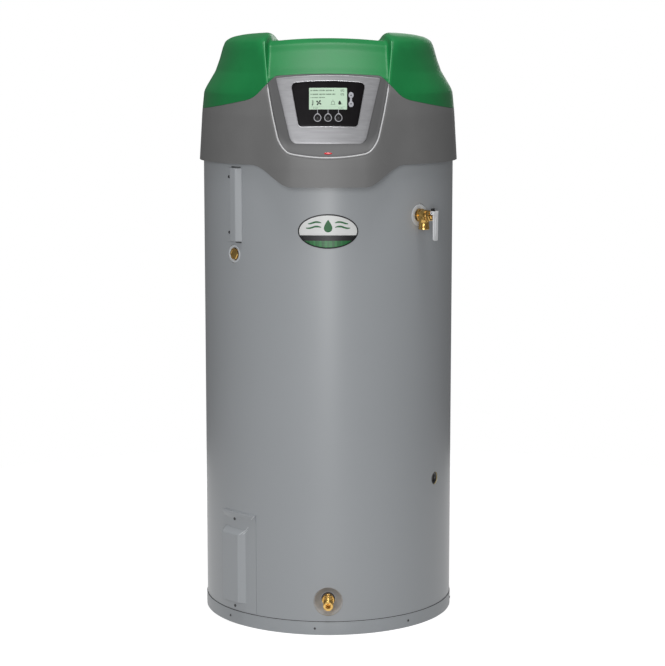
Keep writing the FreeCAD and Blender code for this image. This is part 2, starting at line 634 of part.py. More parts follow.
def control_box():
    """The sheet-metal box under the hood that holds the control's electronics."""
    corner = Vector(size("box_x"), size("box_y"), size("box_low"))
    wall = size("box_wall")
    case = block("sizes.box_width", "sizes.box_side", "sizes.box_side", corner)
    inside = "sizes.box_side - 2 * sizes.box_wall"
    hollow = block("sizes.box_width - 2 * sizes.box_wall", inside, inside, corner + Vector(wall, wall, wall))
    lead_hole = cylinder(9, 30, Vector(-250, 0, 1340), Vector(1, 0, 0))
    keep(cut(case, fuse(hollow, lead_hole)), "control_box")


# ---------------------------------------------------------------- relief and drain valves


def relief_valve():
    """The temperature and pressure relief valve, with a lever that lifts its stem."""
    frame = fitting_frame("relief")
    down = Vector(0, -1, 0)
    across = Vector(1, 0, 0)
    branch = Vector(0, 0, 16)
    barrel = fuse(cylinder("sizes.relief_outlet_radius", 44, Vector(0, 0, -10)),
                  cylinder("sizes.thread_radius", 51, Vector(0, 0, -60)),
                  cylinder("sizes.relief_outlet_radius - 1", 38, branch, down))
    bores = fuse(cylinder("sizes.relief_outlet_bore", 24, branch + down * 20, down),
                 cylinder(8, 30, branch, down),
                 cylinder("sizes.stem_radius + sizes.shaft_gap", 22, Vector(0, 0, 16)))
    keep(cut(barrel, bores), "relief_valve_body", frame)

    cap = doc.addObject("Part::Prism", "HexCap")
    bind(cap, Polygon=6, Circumradius=15, Height=10)
    cap.Placement.Base = Vector(0, 0, 34.1)
    pin = Vector(0, size("pin_up"), size("pin_out"))
    ears = []
    for side in (-1, 1):
        left = 3.6 if side > 0 else -6.2
        ears.append(cylinder(5, 2.6, pin + across * left, across))
        ears.append(block(2.6, 10, "sizes.pin_out - 44", Vector(left, size("pin_up") - 5, 44)))
    hole = cylinder("sizes.pin_radius + sizes.pin_gap", 40, pin - across * 20, across)
    stem_hole = cylinder("sizes.stem_radius + sizes.shaft_gap", 30, Vector(0, 0, 30))
    keep(cut(fuse(cap, *ears), fuse(hole, stem_hole)), "relief_valve_bonnet", frame)

    keep(rod("sizes.stem_radius", 20, 56), "relief_valve_stem", frame)
    keep(cylinder("sizes.pin_radius", 19.6), "relief_lever_pin",
         frame.multiply(Placement(pin - across * 9.8, Rotation(Vector(0, 0, 1), across))))

    half = size("lever_width") / 2
    reach = size("pin_up") + 5
    outward = size("pin_out") + 6
    parts = [block("sizes.lever_width", "sizes.lever_length", "sizes.lever_thick",
                   Vector(-half, reach - size("lever_length"), outward))]
    for side in (-1, 1):
        left = half - 2.4 if side > 0 else -half
        parts.append(cylinder(5, 2.4, pin + across * left, across))
        parts.append(block(2.4, 10, "6 + sizes.lever_thick", Vector(left, reach - 10, size("pin_out"))))
    eye = cylinder("sizes.pin_radius + sizes.pin_gap", 60, pin - across * 30, across)
    keep(cut(fuse(*parts), eye), "relief_valve_lever", frame)


def drain_valve():
    """The drain valve in its bright dish: a slotted stem turns the ball inside."""
    frame = fitting_frame("drain")
    up = Vector(0, 1, 0)
    body = fuse(cylinder("sizes.thread_radius", 40, Vector(0, 0, -60)),
                cylinder(17, 10, Vector(0, 0, -21)),
                cylinder(9.5, 36, Vector(0, 0, -12)),
                cylinder("sizes.hose_thread_radius", "sizes.hose_thread_length", Vector(0, 0, 21.6)),
                cylinder(9, 17, Vector(0, 0, 0), up))
    bore = cylinder(6.5, 140, Vector(0, 0, -70))
    stem_hole = cylinder("5 + sizes.shaft_gap", 20, Vector(0, 7.4, 0), up)
    keep(cut(body, fuse(bore, stem_hole)), "drain_valve_body", frame)
    stem = cylinder(5, 13.5, Vector(0, 7.6, 0), up)
    slot = block(12, 2.5, 1.6, Vector(-6, 19, -0.8))
    keep(cut(stem, slot), "drain_valve_stem", frame)
    rim = "sizes.drain_hole_radius - 0.4"
    keep(turned([(19, -30), (21, -30), (25, -26.5), (rim, -4), (rim, -2.6), (rim + " - 1.6", -2.6),
                 (24.5, -25), (20.4, -28.6), (19, -28.6)]), "drain_dish", frame)


# ---------------------------------------------------------------- covers and badge on the jacket


def channel_cover():
    """The folded channel under the hood: a screwed flange, a raised face and a sloping flank."""
    radius = size("jacket_radius")
    proud = size("channel_proud")
    sheet_thick = 1.0

    def surface(x, out):
        return Vector(x, -math.sqrt((radius + out) ** 2 - x * x), 0)

    outside = [surface(-40, 0.4), surface(-40, 1.4), surface(-13, 1.4), surface(-9, proud),
               surface(4, proud), surface(26, 1.2), surface(26, 0.4)]
    inside = [surface(-11.4, 0.4), surface(-8, proud - sheet_thick), surface(3.5, proud - sheet_thick),
              surface(22.5, 0.4)]
    low = Vector(0, 0, size("channel_low"))
    height = size("channel_high") - size("channel_low")

    def prism(points, start, length):
        loop = Part.makePolygon([point + start for point in points + points[:1]])
        return Part.Face(loop).extrude(Vector(0, 0, length))

    skin = Part.makeCylinder(radius + 0.4, 2000)
    solid = prism(outside, low, height).cut(skin).cut(prism(inside, low + Vector(0, 0, 1), height - 2))
    turn = size("channel_turn")
    for place in channel_screw_seats(True):
        solid = solid.cut(Part.makeCylinder(size("screw_hole_radius"), 8, place + Vector(0, 4, 0), Vector(0, -1, 0)))
    shaped("channel_cover", solid, Placement(Vector(), Rotation(Vector(0, 0, 1), turn)))


def channel_screw_seats(local):
    """The two screws of the channel cover, in the cover's own frame or on the heater."""
    radius = size("jacket_radius") + 1.5
    places = [Vector(-24, -math.sqrt(radius ** 2 - 24 ** 2), height) for height in (1102.0, 1254.0)]
    if local:
        return places
    turn = Rotation(Vector(0, 0, 1), size("channel_turn"))
    return [turn.multVec(place) for place in places]


def access_cover():
    """The lower access cover: a curved flange with a raised, sloping box pressed into it."""
    radius = size("jacket_radius")
    low = size("access_low")
    high = size("access_high")
    half_turn = 10.5
    width = 2 * (radius + 2) * math.sin(math.radians(half_turn))

    def shell(inner, outer):
        ring = Part.makeCylinder(outer, high - low, Vector(0, 0, low))
        return ring.cut(Part.makeCylinder(inner, high - low, Vector(0, 0, low)))

    window = Part.makeBox(width, 120, high - low, Vector(-width / 2, -radius - 60, low))
    flange = shell(radius + 0.4, radius + 1.6).common(window)
    lip = shell(radius + 0.4, radius + 7).common(window)
    lip = lip.common(Part.makeBox(width, 120, 8, Vector(-width / 2, -radius - 60, high - 8)))

    def box(inset):
        """A pressed box: its foot on the jacket, its face standing proud; inset thins it."""
        foot = -radius + 16
        face = -radius - size("access_proud") + inset
        edges = [(-58 + inset, 40 - inset, 60 + inset, 288 - inset, foot),
                 (-50 + inset, 14 - inset, 68 + inset, 262 - inset, face)]
        loops = [Part.makePolygon([Vector(left, y, bottom), Vector(right, y, bottom), Vector(right, y, top),
                                   Vector(left, y, top), Vector(left, y, bottom)])
                 for left, right, bottom, top, y in edges]
        return Part.makeLoft(loops, True, True)

    core = Part.makeCylinder(radius + 0.4, high + 10)
    raised = box(0).cut(core)
    solid = flange.fuse([lip, raised]).cut(box(1.2).common(window))
    for place in access_screw_seats(True):
        solid = solid.cut(Part.makeCylinder(size("screw_hole_radius"), 12, place + Vector(0, 6, 0), Vector(0, -1, 0)))
    shaped("access_cover", solid, Placement(Vector(), Rotation(Vector(0, 0, 1), size("access_turn"))))


def access_screw_seats(local):
    """The two screws of the access cover, one above and one below its raised box."""
    radius = size("jacket_radius") + 1.8
    places = [Vector(-16, -math.sqrt(radius ** 2 - 16 ** 2), height) for height in (51.0, 301.0)]
    if local:
        return places
    turn = Rotation(Vector(0, 0, 1), size("access_turn"))
    return [turn.multVec(place) for place in places]


def cover_screws():
    """The four screws that hold the two covers."""
    seats = []
    for turn, places in ((size("channel_turn"), channel_screw_seats(False)),
                         (size("access_turn"), access_screw_seats(False))):
        for place in places:
            facing = Rotation(Vector(0, 0, 1), turn).multiply(Rotation(Vector(1, 0, 0), 90))
            seats.append(Placement(place, facing))
    keep(group([screw(seat) for seat in seats]), "cover_screws")


def badge():
    """A blank oval plate that follows the curve of the jacket."""
    loop = Part.Ellipse(Vector(0, 0, 0), size("badge_half_width"), size("badge_half_height"))
    prism = Part.Face(Part.Wire(loop.toShape())).extrude(Vector(0, 0, 80))
    facing = Rotation(Vector(1, 0, 0), 90)
    prism.Placement = Placement(Vector(0, -300, size("badge_height")), facing)
    radius = size("jacket_radius")
    low = Vector(0, 0, size("badge_height") - 100)
    skin = Part.makeCylinder(radius + 0.2 + size("badge_thick"), 200, low)
    shaped("badge_plate", prism.common(skin.cut(Part.makeCylinder(radius + 0.2, 200, low))))


# ---------------------------------------------------------------- hood

# The hood's plan is an ellipse that narrows upwards. Each row: height, half width, half depth, nose.
# The nose is how far the middle of the front stands out beyond the ellipse.
HOOD_LEVELS = [
    (1200, 366.8, 366.8, 32), (1290, 363.8, 363.8, 32), (1423, 355.7, 356.5, 27.5), (1480, 349.8, 350.0, 24),
    (1493, 344.0, 347.5, 23), (1537, 317.5, 340.0, 20.5), (1571, 305.2, 333.5, 18.5), (1602, 296.5, 327.0, 16.5),
    (1620, 289.0, 319.0, 15), (1632, 270.0, 301.0, 13.5), (1641, 225.0, 255.0, 11), (1646, 165.0, 195.0, 7),
]
# Where the coloured cover meets the grey shroud, across the front: half width and height.
SEAM = [(0, 1534.0), (70, 1532.6), (141, 1528.5), (166, 1504.5), (196, 1473.0), (216, 1463.5), (280, 1449.0),
        (370, 1430.0)]
# The recess floor in side view, above the panel: depth in front of the axis, and height.
FLOOR = [(318.0, 1532.0), (301.0, 1552.0), (281.0, 1575.0), (262.0, 1597.0)]


def spline(points):
    curve = Part.BSplineCurve()
    curve.interpolate(points)
    return curve.toShape()


def mirrored(points):
    """Points given for the right half, completed across the middle, from left to right."""
    return [Vector(-x, 0, z) for x, z in reversed(points[1:])] + [Vector(x, 0, z) for x, z in points]


def swept_side(points, limit, front, back):
    """All that lies between a curve drawn across the heater and a level limit, between two depths."""
    row = [point + Vector(0, front, 0) for point in mirrored(points)]
    left = Vector(row[0].x, front, limit)
    right = Vector(row[-1].x, front, limit)
    loop = Part.Wire([spline(row), Part.makeLine(row[-1], right), Part.makeLine(right, left),
                      Part.makeLine(left, row[0])])
    return Part.Face(loop).extrude(Vector(0, back - front, 0))


def nose_share(x):
    """How much of the nose is present at a distance from the middle: all, fading, none."""
    full = 95.0
    gone = 215.0
    if abs(x) <= full:
        return 1.0
    if abs(x) >= gone:
        return 0.0
    return 0.5 * (1 + math.cos(math.pi * (abs(x) - full) / (gone - full)))


def hood_plan(level, inset):
    height, half_width, half_depth, nose = level
    count = 48
    points = []
    for k in range(count):
        angle = 2 * math.pi * k / count
        x = (half_width - inset) * math.sin(angle)
        y = (half_depth - inset) * math.cos(angle)
        if y < 0:
            y -= nose * nose_share(x)
        points.append(Vector(x, y, height))
    steps = [k / count for k in range(count + 1)]
    curve = Part.BSplineCurve()
    curve.interpolate(Points=points, PeriodicFlag=True, Parameters=steps)
    return Part.Wire([curve.toShape()])


def recess_tool(inset):
    """The flared pocket in the front, and the valley that runs back from it between the shoulders."""
    ceiling = 1800

    def loop(y):
        """The pocket's outline at one depth: its sides and bottom draw in as it gets deeper."""
        depth = (y + 400) / 150
        low = 1307 + 182 * depth - inset
        half_low = 138 - 52.4 * depth + inset
        slope = 0.18 + 0.26 * depth
        half_high = half_low + slope * (ceiling - low)
        corner = 38 - 14 * depth
        side = math.hypot(slope, 1)
        start = Vector(half_low + slope * corner / side, y, low + corner / side)
        end = Vector(half_low - corner, y, low)
        bend = Vector(half_low - corner * 0.26, y, low + corner * 0.24)
        arc = Part.Arc(start, bend, end).toShape()
        mirror_arc = Part.Arc(Vector(-end.x, y, end.z), Vector(-bend.x, y, bend.z),
                              Vector(-start.x, y, start.z)).toShape()
        return Part.Wire([Part.makeLine(Vector(half_high, y, ceiling), start), arc,
                          Part.makeLine(end, Vector(-end.x, y, end.z)), mirror_arc,
                          Part.makeLine(Vector(-start.x, y, start.z), Vector(-half_high, y, ceiling)),
                          Part.makeLine(Vector(-half_high, y, ceiling), Vector(half_high, y, ceiling))])

    pocket = Part.makeLoft([loop(-470), loop(-250)], True, True)
    foot = 1500
    corners = [(146 + inset, foot), (146 + inset, 1616), (230 + inset, ceiling), (-230 - inset, ceiling),
               (-146 - inset, 1616), (-146 - inset, foot), (146 + inset, foot)]
    valley = Part.Face(Part.makePolygon([Vector(x, -252, z) for x, z in corners])).extrude(Vector(0, 720, 0))
    return pocket.fuse(valley)


def recess_core(inset):
    """What stays behind the recess: panel seat, sloping face and valley floor, slightly rounded across."""
    low_y = size("panel_low_y")
    low_z = size("panel_low_z")
    lean = (size("panel_high_y") - low_y) / (size("panel_high_z") - low_z)
    seat_back = size("panel_thick") + 0.4 + inset
    valley = size("valley_height") - inset
    bottom = 1100

    def section(x):
        drop = 8 * (x / 150) ** 2
        shift = x * x / (2 * size("panel_curve_radius"))
        outline = [Vector(x, low_y + seat_back + lean * (bottom - low_z) + shift, bottom),
                   Vector(x, size("panel_high_y") + seat_back + shift, size("panel_high_z") - drop * 0.7)]
        for depth, height in FLOOR[1:]:
            outline.append(Vector(x, -depth + inset + shift, height - drop - 0.6 * inset))
        crest = Vector(x, -FLOOR[-1][0] + inset + shift + 11, valley - drop - 12)
        shoulder = Vector(x, -FLOOR[-1][0] + inset + shift + 32, valley - drop)
        outline += [crest, shoulder, Vector(x, 480, valley - drop), Vector(x, 480, bottom)]
        return Part.makePolygon(outline + outline[:1])

    return Part.makeLoft([section(x) for x in (-260, -156, -78, 0, 78, 156, 260)], True, True)


def hood_solid(inset):
    """The whole hood as one solid, drawn in by the inset; the inner one also starts lower."""
    levels = []
    for height, *plan in HOOD_LEVELS:
        dome_share = max(0.0, (height - 1571) / 75)
        levels.append((height - inset * dome_share, *plan))
    if inset:
        levels[0] = (levels[0][0] - 5, *levels[0][1:])
    solid = Part.makeLoft([hood_plan(level, inset) for level in levels], True, True)
    return solid.cut(recess_tool(inset).cut(recess_core(inset)))


def hem_height(x):
    """The wavy lower edge of the hood's front: low in the middle, rising in an S to either side."""
    flat = size("hem_flat_half")
    share = (abs(x) - flat) / (size("hem_wave_half") - flat)
    share = min(max(share, 0.0), 1.0)
    rise = share * share * (3 - 2 * share)
    return size("hem_low") + rise * (size("hem_high") - size("hem_low"))


def panel_frame():
    """The panel's frame: X to the right, Y up the lean, Z out of the panel, origin at its middle."""
    low = Vector(0, size("panel_low_y"), size("panel_low_z"))
    high = Vector(0, size("panel_high_y"), size("panel_high_z"))
    lean = math.degrees(math.atan2(high.z - low.z, high.y - low.y))
    return Placement((low + high) * 0.5, Rotation(Vector(1, 0, 0), lean))


def hood():
    """The grey shroud and the coloured top cover that lifts off it."""
    shell = hood_solid(0).cut(hood_solid(size("hood_wall")))
    floor = 1100
    ceiling = 1900
    hem = [(x, hem_height(x)) for x in range(0, 241, 20)] + [(420, size("hem_high"))]
    shell = shell.cut(swept_side(hem, floor, -600, 0))
    shell = shell.cut(Part.makeBox(1000, 700, size("hem_high") - floor, Vector(-500, 0, floor)))
    gap = size("hood_gap") / 2
    above = swept_side([(x, z + gap) for x, z in SEAM], ceiling, -600, 600)
    above_shroud = swept_side([(x, z - gap) for x, z in SEAM], ceiling, -600, 600)
    shroud = shell.cut(above_shroud)
    window = Part.makeBox(136, 116, 40, Vector(-64, -38, -30))
    rebate = panel_plate(0.3, 3)
    for tool in (window, rebate):
        tool.Placement = panel_frame()
    back = Vector(0, 1, 0)
    start = 250
    places = [(size("intake_socket_radius") + 1, size("blower_x"), size("intake_height")),
              (size("gas_pipe_radius") + 1.5, size("gas_x"), size("gas_height")),
              (9.2, size("cable_x"), size("cable_height"))]
    holes = [window, rebate]
    for radius, x, height in places:
        holes.append(Part.makeCylinder(radius, 200, Vector(x, start, height), back))
    shaped("lower_shroud", shroud.cut(Part.makeCompound(holes)))
    shaped("top_cover", shell.common(above))

    bush = turned([("sizes.cable_bore", 0), (8.9, 0), (8.9, 16), (13, 16), (13, 19), (11, 24),
                   ("sizes.cable_bore", 24)])
    wall_y = 342.5
    keep(bush, "cable_bushing",
         Placement(Vector(size("cable_x"), wall_y, size("cable_height")), Rotation(Vector(1, 0, 0), -90)))

    light = doc.addObject("Part::Ellipsoid", "Light")
    bind(light, Radius1=2.4, Radius2=10.5, Radius3=3, Angle1=-90)
    keep(light, "status_light", Placement(Vector(0, -384.5, 1326), Rotation(Vector(1, 0, 0), 40)))


# ---------------------------------------------------------------- control panel


def trapezoid(low, high, half_low, half_high, corner, arch, reach=60.0):
    """A prism through the panel: a trapezoid with rounded lower corners and a slightly arched top."""
    slope = (half_high - half_low) / (high - low)
    side = math.hypot(slope, 1)
    start = Vector(half_low + slope * corner / side, low + corner / side, 0)
    end = Vector(half_low - corner, low, 0)
    bend = Vector(half_low - corner * 0.26, low + corner * 0.24, 0)
    top_right = Vector(half_high, high - arch, 0)

    def flip(point):
        return Vector(-point.x, point.y, 0)

    loop = Part.Wire([Part.makeLine(top_right, start), Part.Arc(start, bend, end).toShape(),
                      Part.makeLine(end, flip(end)), Part.Arc(flip(end), flip(bend), flip(start)).toShape(),
                      Part.makeLine(flip(start), flip(top_right)),
                      Part.Arc(flip(top_right), Vector(0, high, 0), top_right).toShape()])
    prism = Part.Face(loop).extrude(Vector(0, 0, reach))
    prism.translate(Vector(0, 0, -reach / 2))
    return prism


def curved_sheet(low, high):
    """A sheet that follows the panel's curve between two heights above its face."""
    radius = size("panel_curve_radius")
    start = Vector(0, -300, -radius)
    up = Vector(0, 1, 0)
    outer = Part.makeCylinder(radius + high, 600, start, up)
    return outer.cut(Part.makeCylinder(radius + low, 600, start, up))


def panel_plate(margin, proud):
    """The fascia plate in the panel's frame, grown by a margin all round and to a height above its face."""
    half_height = math.hypot(size("panel_high_z") - size("panel_low_z"),
                             size("panel_high_y") - size("panel_low_y")) / 2
    outline = trapezoid(-half_height - margin, half_height - 1 + margin, size("panel_low_half") + margin,
                        size("panel_top_half") + margin, size("panel_corner"), 5.5)
    return outline.common(curved_sheet(-size("panel_thick") - margin, proud))


def drill(x, y, radius):
    return Part.makeCylinder(radius, 80, Vector(x, y, -40))


def control_panel():
    """Brushed fascia, black bezel, display lens, the board behind them and five push keys."""
    frame = panel_frame()
    window = Part.makeBox(132, 112, 60, Vector(-62, -36, -30))
    shaped("control_panel", panel_plate(0, 0).cut(window), frame)

    keys = [("key_left", -size("key_pitch"), size("key_row"), size("key_radius")),
            ("key_middle", 0.0, size("key_row"), size("key_radius")),
            ("key_right", size("key_pitch"), size("key_row"), size("key_radius")),
            ("key_up", size("arrow_x"), size("arrow_high"), size("arrow_radius")),
            ("key_down", size("arrow_x"), size("arrow_low"), size("arrow_radius"))]

    bezel = trapezoid(size("bezel_low"), size("bezel_high"), size("bezel_low_half"), size("bezel_top_half"),
                      size("bezel_corner"), 4.5)
    bezel = bezel.common(curved_sheet(0.1, size("bezel_thick")))
    gap = size("key_gap")
    lens_width = 2 * size("lens_half_width")
    lens_height = size("lens_high") - size("lens_low")
    lens_window = Part.makeBox(lens_width + 0.4, lens_height + 0.4, 60,
                               Vector(-lens_width / 2 - 0.2, size("lens_low") - 0.2, -30))
    bezel = bezel.cut(Part.makeCompound([lens_window] + [drill(x, y, r + gap) for _, x, y, r in keys]))
    shaped("display_bezel", bezel, frame)
    lens = Part.makeBox(lens_width, lens_height, 60, Vector(-lens_width / 2, size("lens_low"), -30))
    shaped("display_lens", lens.common(curved_sheet(0.1, size("lens_thick"))), frame)

    board = block(124, 104, 1.6, Vector(-58, -32, -12))
    screen = block(96, 56, 6, Vector(-48, 1, -10.4))
    keep(fuse(board, screen), "display_board", frame)

    for label, x, y, radius in keys:
        sag = x * x / (2 * size("panel_curve_radius"))
        face = size("bezel_thick") + size("key_proud") - sag
        back = face - 4.2
        key = turned([(0, -8.6), ("sizes.key_stem_radius", -8.6), ("sizes.key_stem_radius", back), (radius, back),
                      (radius, face - 0.8), (radius - 0.8, face), (0, face)])
        keep(key, label, frame.multiply(Placement(Vector(x, y, 0), Rotation())))


# ---------------------------------------------------------------- build and write

for build in (base, jacket, tank, fittings, combustion, exhaust, burner, blower, gas_train, relief_valve,
              drain_valve, channel_cover, access_cover, cover_screws, badge, hood, control_panel):
    build()
doc.recompute()

for item in doc.Objects:
    if "Invalid" in item.State or "Error" in item.State:
        raise RuntimeError(f"{item.Name} ({item.Label}) is {item.State}")
for item in nodes:
    if item.Shape.isNull() or not item.Shape.isValid():
        raise RuntimeError(f"{item.Label} has no valid shape")

os.makedirs("parts", exist_ok=True)
for item in nodes:
    item.Shape.exportStep(f"parts/{item.Label}.step")
print(len(nodes), "sub-parts written")
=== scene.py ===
import bpy
import bmesh
import json
import math
import numpy as np
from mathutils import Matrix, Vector


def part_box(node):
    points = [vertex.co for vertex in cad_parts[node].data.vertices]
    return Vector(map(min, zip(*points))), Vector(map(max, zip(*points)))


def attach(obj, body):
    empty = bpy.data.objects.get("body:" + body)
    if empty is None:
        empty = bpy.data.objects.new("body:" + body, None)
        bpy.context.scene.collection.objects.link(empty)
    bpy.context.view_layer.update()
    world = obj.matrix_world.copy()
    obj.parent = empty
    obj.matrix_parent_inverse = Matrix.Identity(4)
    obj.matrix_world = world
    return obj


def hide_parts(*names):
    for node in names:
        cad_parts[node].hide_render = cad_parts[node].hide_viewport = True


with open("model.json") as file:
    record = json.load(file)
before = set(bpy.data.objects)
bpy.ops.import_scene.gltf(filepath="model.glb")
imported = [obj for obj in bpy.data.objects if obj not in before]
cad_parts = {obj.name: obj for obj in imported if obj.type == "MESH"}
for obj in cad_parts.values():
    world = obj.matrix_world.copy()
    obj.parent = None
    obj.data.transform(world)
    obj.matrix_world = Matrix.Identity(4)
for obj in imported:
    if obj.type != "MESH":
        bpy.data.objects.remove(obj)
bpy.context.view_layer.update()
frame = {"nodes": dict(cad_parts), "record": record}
nodes = frame["nodes"]
record = frame["record"]
MM = 0.001

# ---------------------------------------------------------------- places on the heater, in millimetres

JACKET = 1000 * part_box("outer_jacket")[1].x
PANEL_FOOT = Vector((0, -342, 1440))
PANEL_UP = Vector((0, 48, 184)).normalized()
PANEL_OUT = Vector((0, -184, 48)).normalized()
PANEL_CURVE = 700.0


def panel(points):
    """Points of the leaning, slightly curved panel: across, up and out of its face."""
    p = np.asarray(points, float)
    out = p[:, 2] - p[:, 0] ** 2 / (2 * PANEL_CURVE)
    return (np.outer(p[:, 0], (1, 0, 0)) + np.outer(p[:, 1], PANEL_UP) + np.outer(out, PANEL_OUT)
            + np.array(PANEL_FOOT))


def wrapped(turn, height):
    """Points laid round the jacket: across along its curve, up, and out of the paint."""
    def place(points):
        p = np.asarray(points, float)
        angle = math.radians(turn) + p[:, 0] / JACKET
        radius = JACKET + p[:, 2]
        return np.stack([radius * np.sin(angle), -radius * np.cos(angle), height + p[:, 1]], 1)
    return place


def fitting(turn, height):
    """The straight frame of a fitting: across, up, and out along its axis."""
    a = math.radians(turn)
    across, out = np.array((math.cos(a), math.sin(a), 0)), np.array((math.sin(a), -math.cos(a), 0))

    def place(points):
        p = np.asarray(points, float)
        return (np.outer(p[:, 0], across) + np.outer(p[:, 1], (0, 0, 1)) + np.outer(JACKET + p[:, 2], out)
                + np.array((0, 0, height)))
    return place


def upright(x=0, y=0, z=0):
    """A frame that stands on a point with its axis up."""
    return lambda points: np.asarray(points, float) + np.array((x, y, z))


def along(origin, out, up=(0, 0, 1)):
    """A frame whose axis runs from an origin in a direction."""
    out, up = Vector(out).normalized(), Vector(up)
    across = up.cross(out).normalized()
    basis = np.array([across, out.cross(across), out])
    return lambda points: np.asarray(points, float) @ basis + np.array(origin, float)


# ---------------------------------------------------------------- materials


def finish(name, colour, rough, metal, vary, scale, grain, relief, own=()):
    """A surface with slow variation of colour and gloss and a fine relief, all from noise in object space."""
    own = dict(own)
    stretch, rough_vary = own.get("stretch", (1, 1, 1)), own.get("rough_vary", 0.06)
    mat = bpy.data.materials.new(name)
    mat.use_nodes = True
    tree = mat.node_tree
    new, link = tree.nodes.new, tree.links.new
    bsdf = tree.nodes["Principled BSDF"]
    bsdf.inputs["Metallic"].default_value = metal
    bsdf.inputs["Coat Weight"].default_value = own.get("coat", 0.0)
    bsdf.inputs["Coat Roughness"].default_value = 0.12
    bsdf.inputs["Specular IOR Level"].default_value = own.get("specular", 0.5)
    place = new("ShaderNodeTexCoord")

    def noise(size, squeeze, detail):
        mapping, field = new("ShaderNodeMapping"), new("ShaderNodeTexNoise")
        mapping.inputs["Scale"].default_value = squeeze
        field.inputs["Scale"].default_value = size
        field.inputs["Detail"].default_value = detail
        link(place.outputs["Object"], mapping.inputs["Vector"])
        link(mapping.outputs["Vector"], field.inputs["Vector"])
        return field.outputs["Fac"]

    slow = noise(scale, stretch, 4)
    fine = noise(grain, own.get("grain_stretch", stretch), 2)
    both = new("ShaderNodeMix")
    both.inputs["Factor"].default_value = 0.35
    link(slow, both.inputs["A"])
    link(fine, both.inputs["B"])
    ramp = new("ShaderNodeValToRGB")
    dark, light = ramp.color_ramp.elements
    dark.position, light.position = 0.3, 0.7
    dark.color = [max(0, c * (1 - vary)) for c in own.get("hue", colour)] + [1]
    light.color = [min(1, c * (1 + vary)) for c in colour] + [1]
    link(both.outputs["Result"], ramp.inputs["Fac"])
    link(ramp.outputs["Color"], bsdf.inputs["Base Color"])
    gloss = new("ShaderNodeMapRange")
    gloss.inputs["To Min"].default_value = max(0.02, rough - rough_vary)
    gloss.inputs["To Max"].default_value = rough + rough_vary
    link(both.outputs["Result"], gloss.inputs["Value"])
    link(gloss.outputs["Result"], bsdf.inputs["Roughness"])
    if relief:
        bump = new("ShaderNodeBump")
        bump.inputs["Distance"].default_value = relief * MM
        bump.inputs["Strength"].default_value = 1.0
        link(fine, bump.inputs["Height"])
        link(bump.outputs["Normal"], bsdf.inputs["Normal"])
    if "glow" in own:
        bsdf.inputs["Emission Color"].default_value = [*colour, 1]
        bsdf.inputs["Emission Strength"].default_value = own["glow"]
    return mat


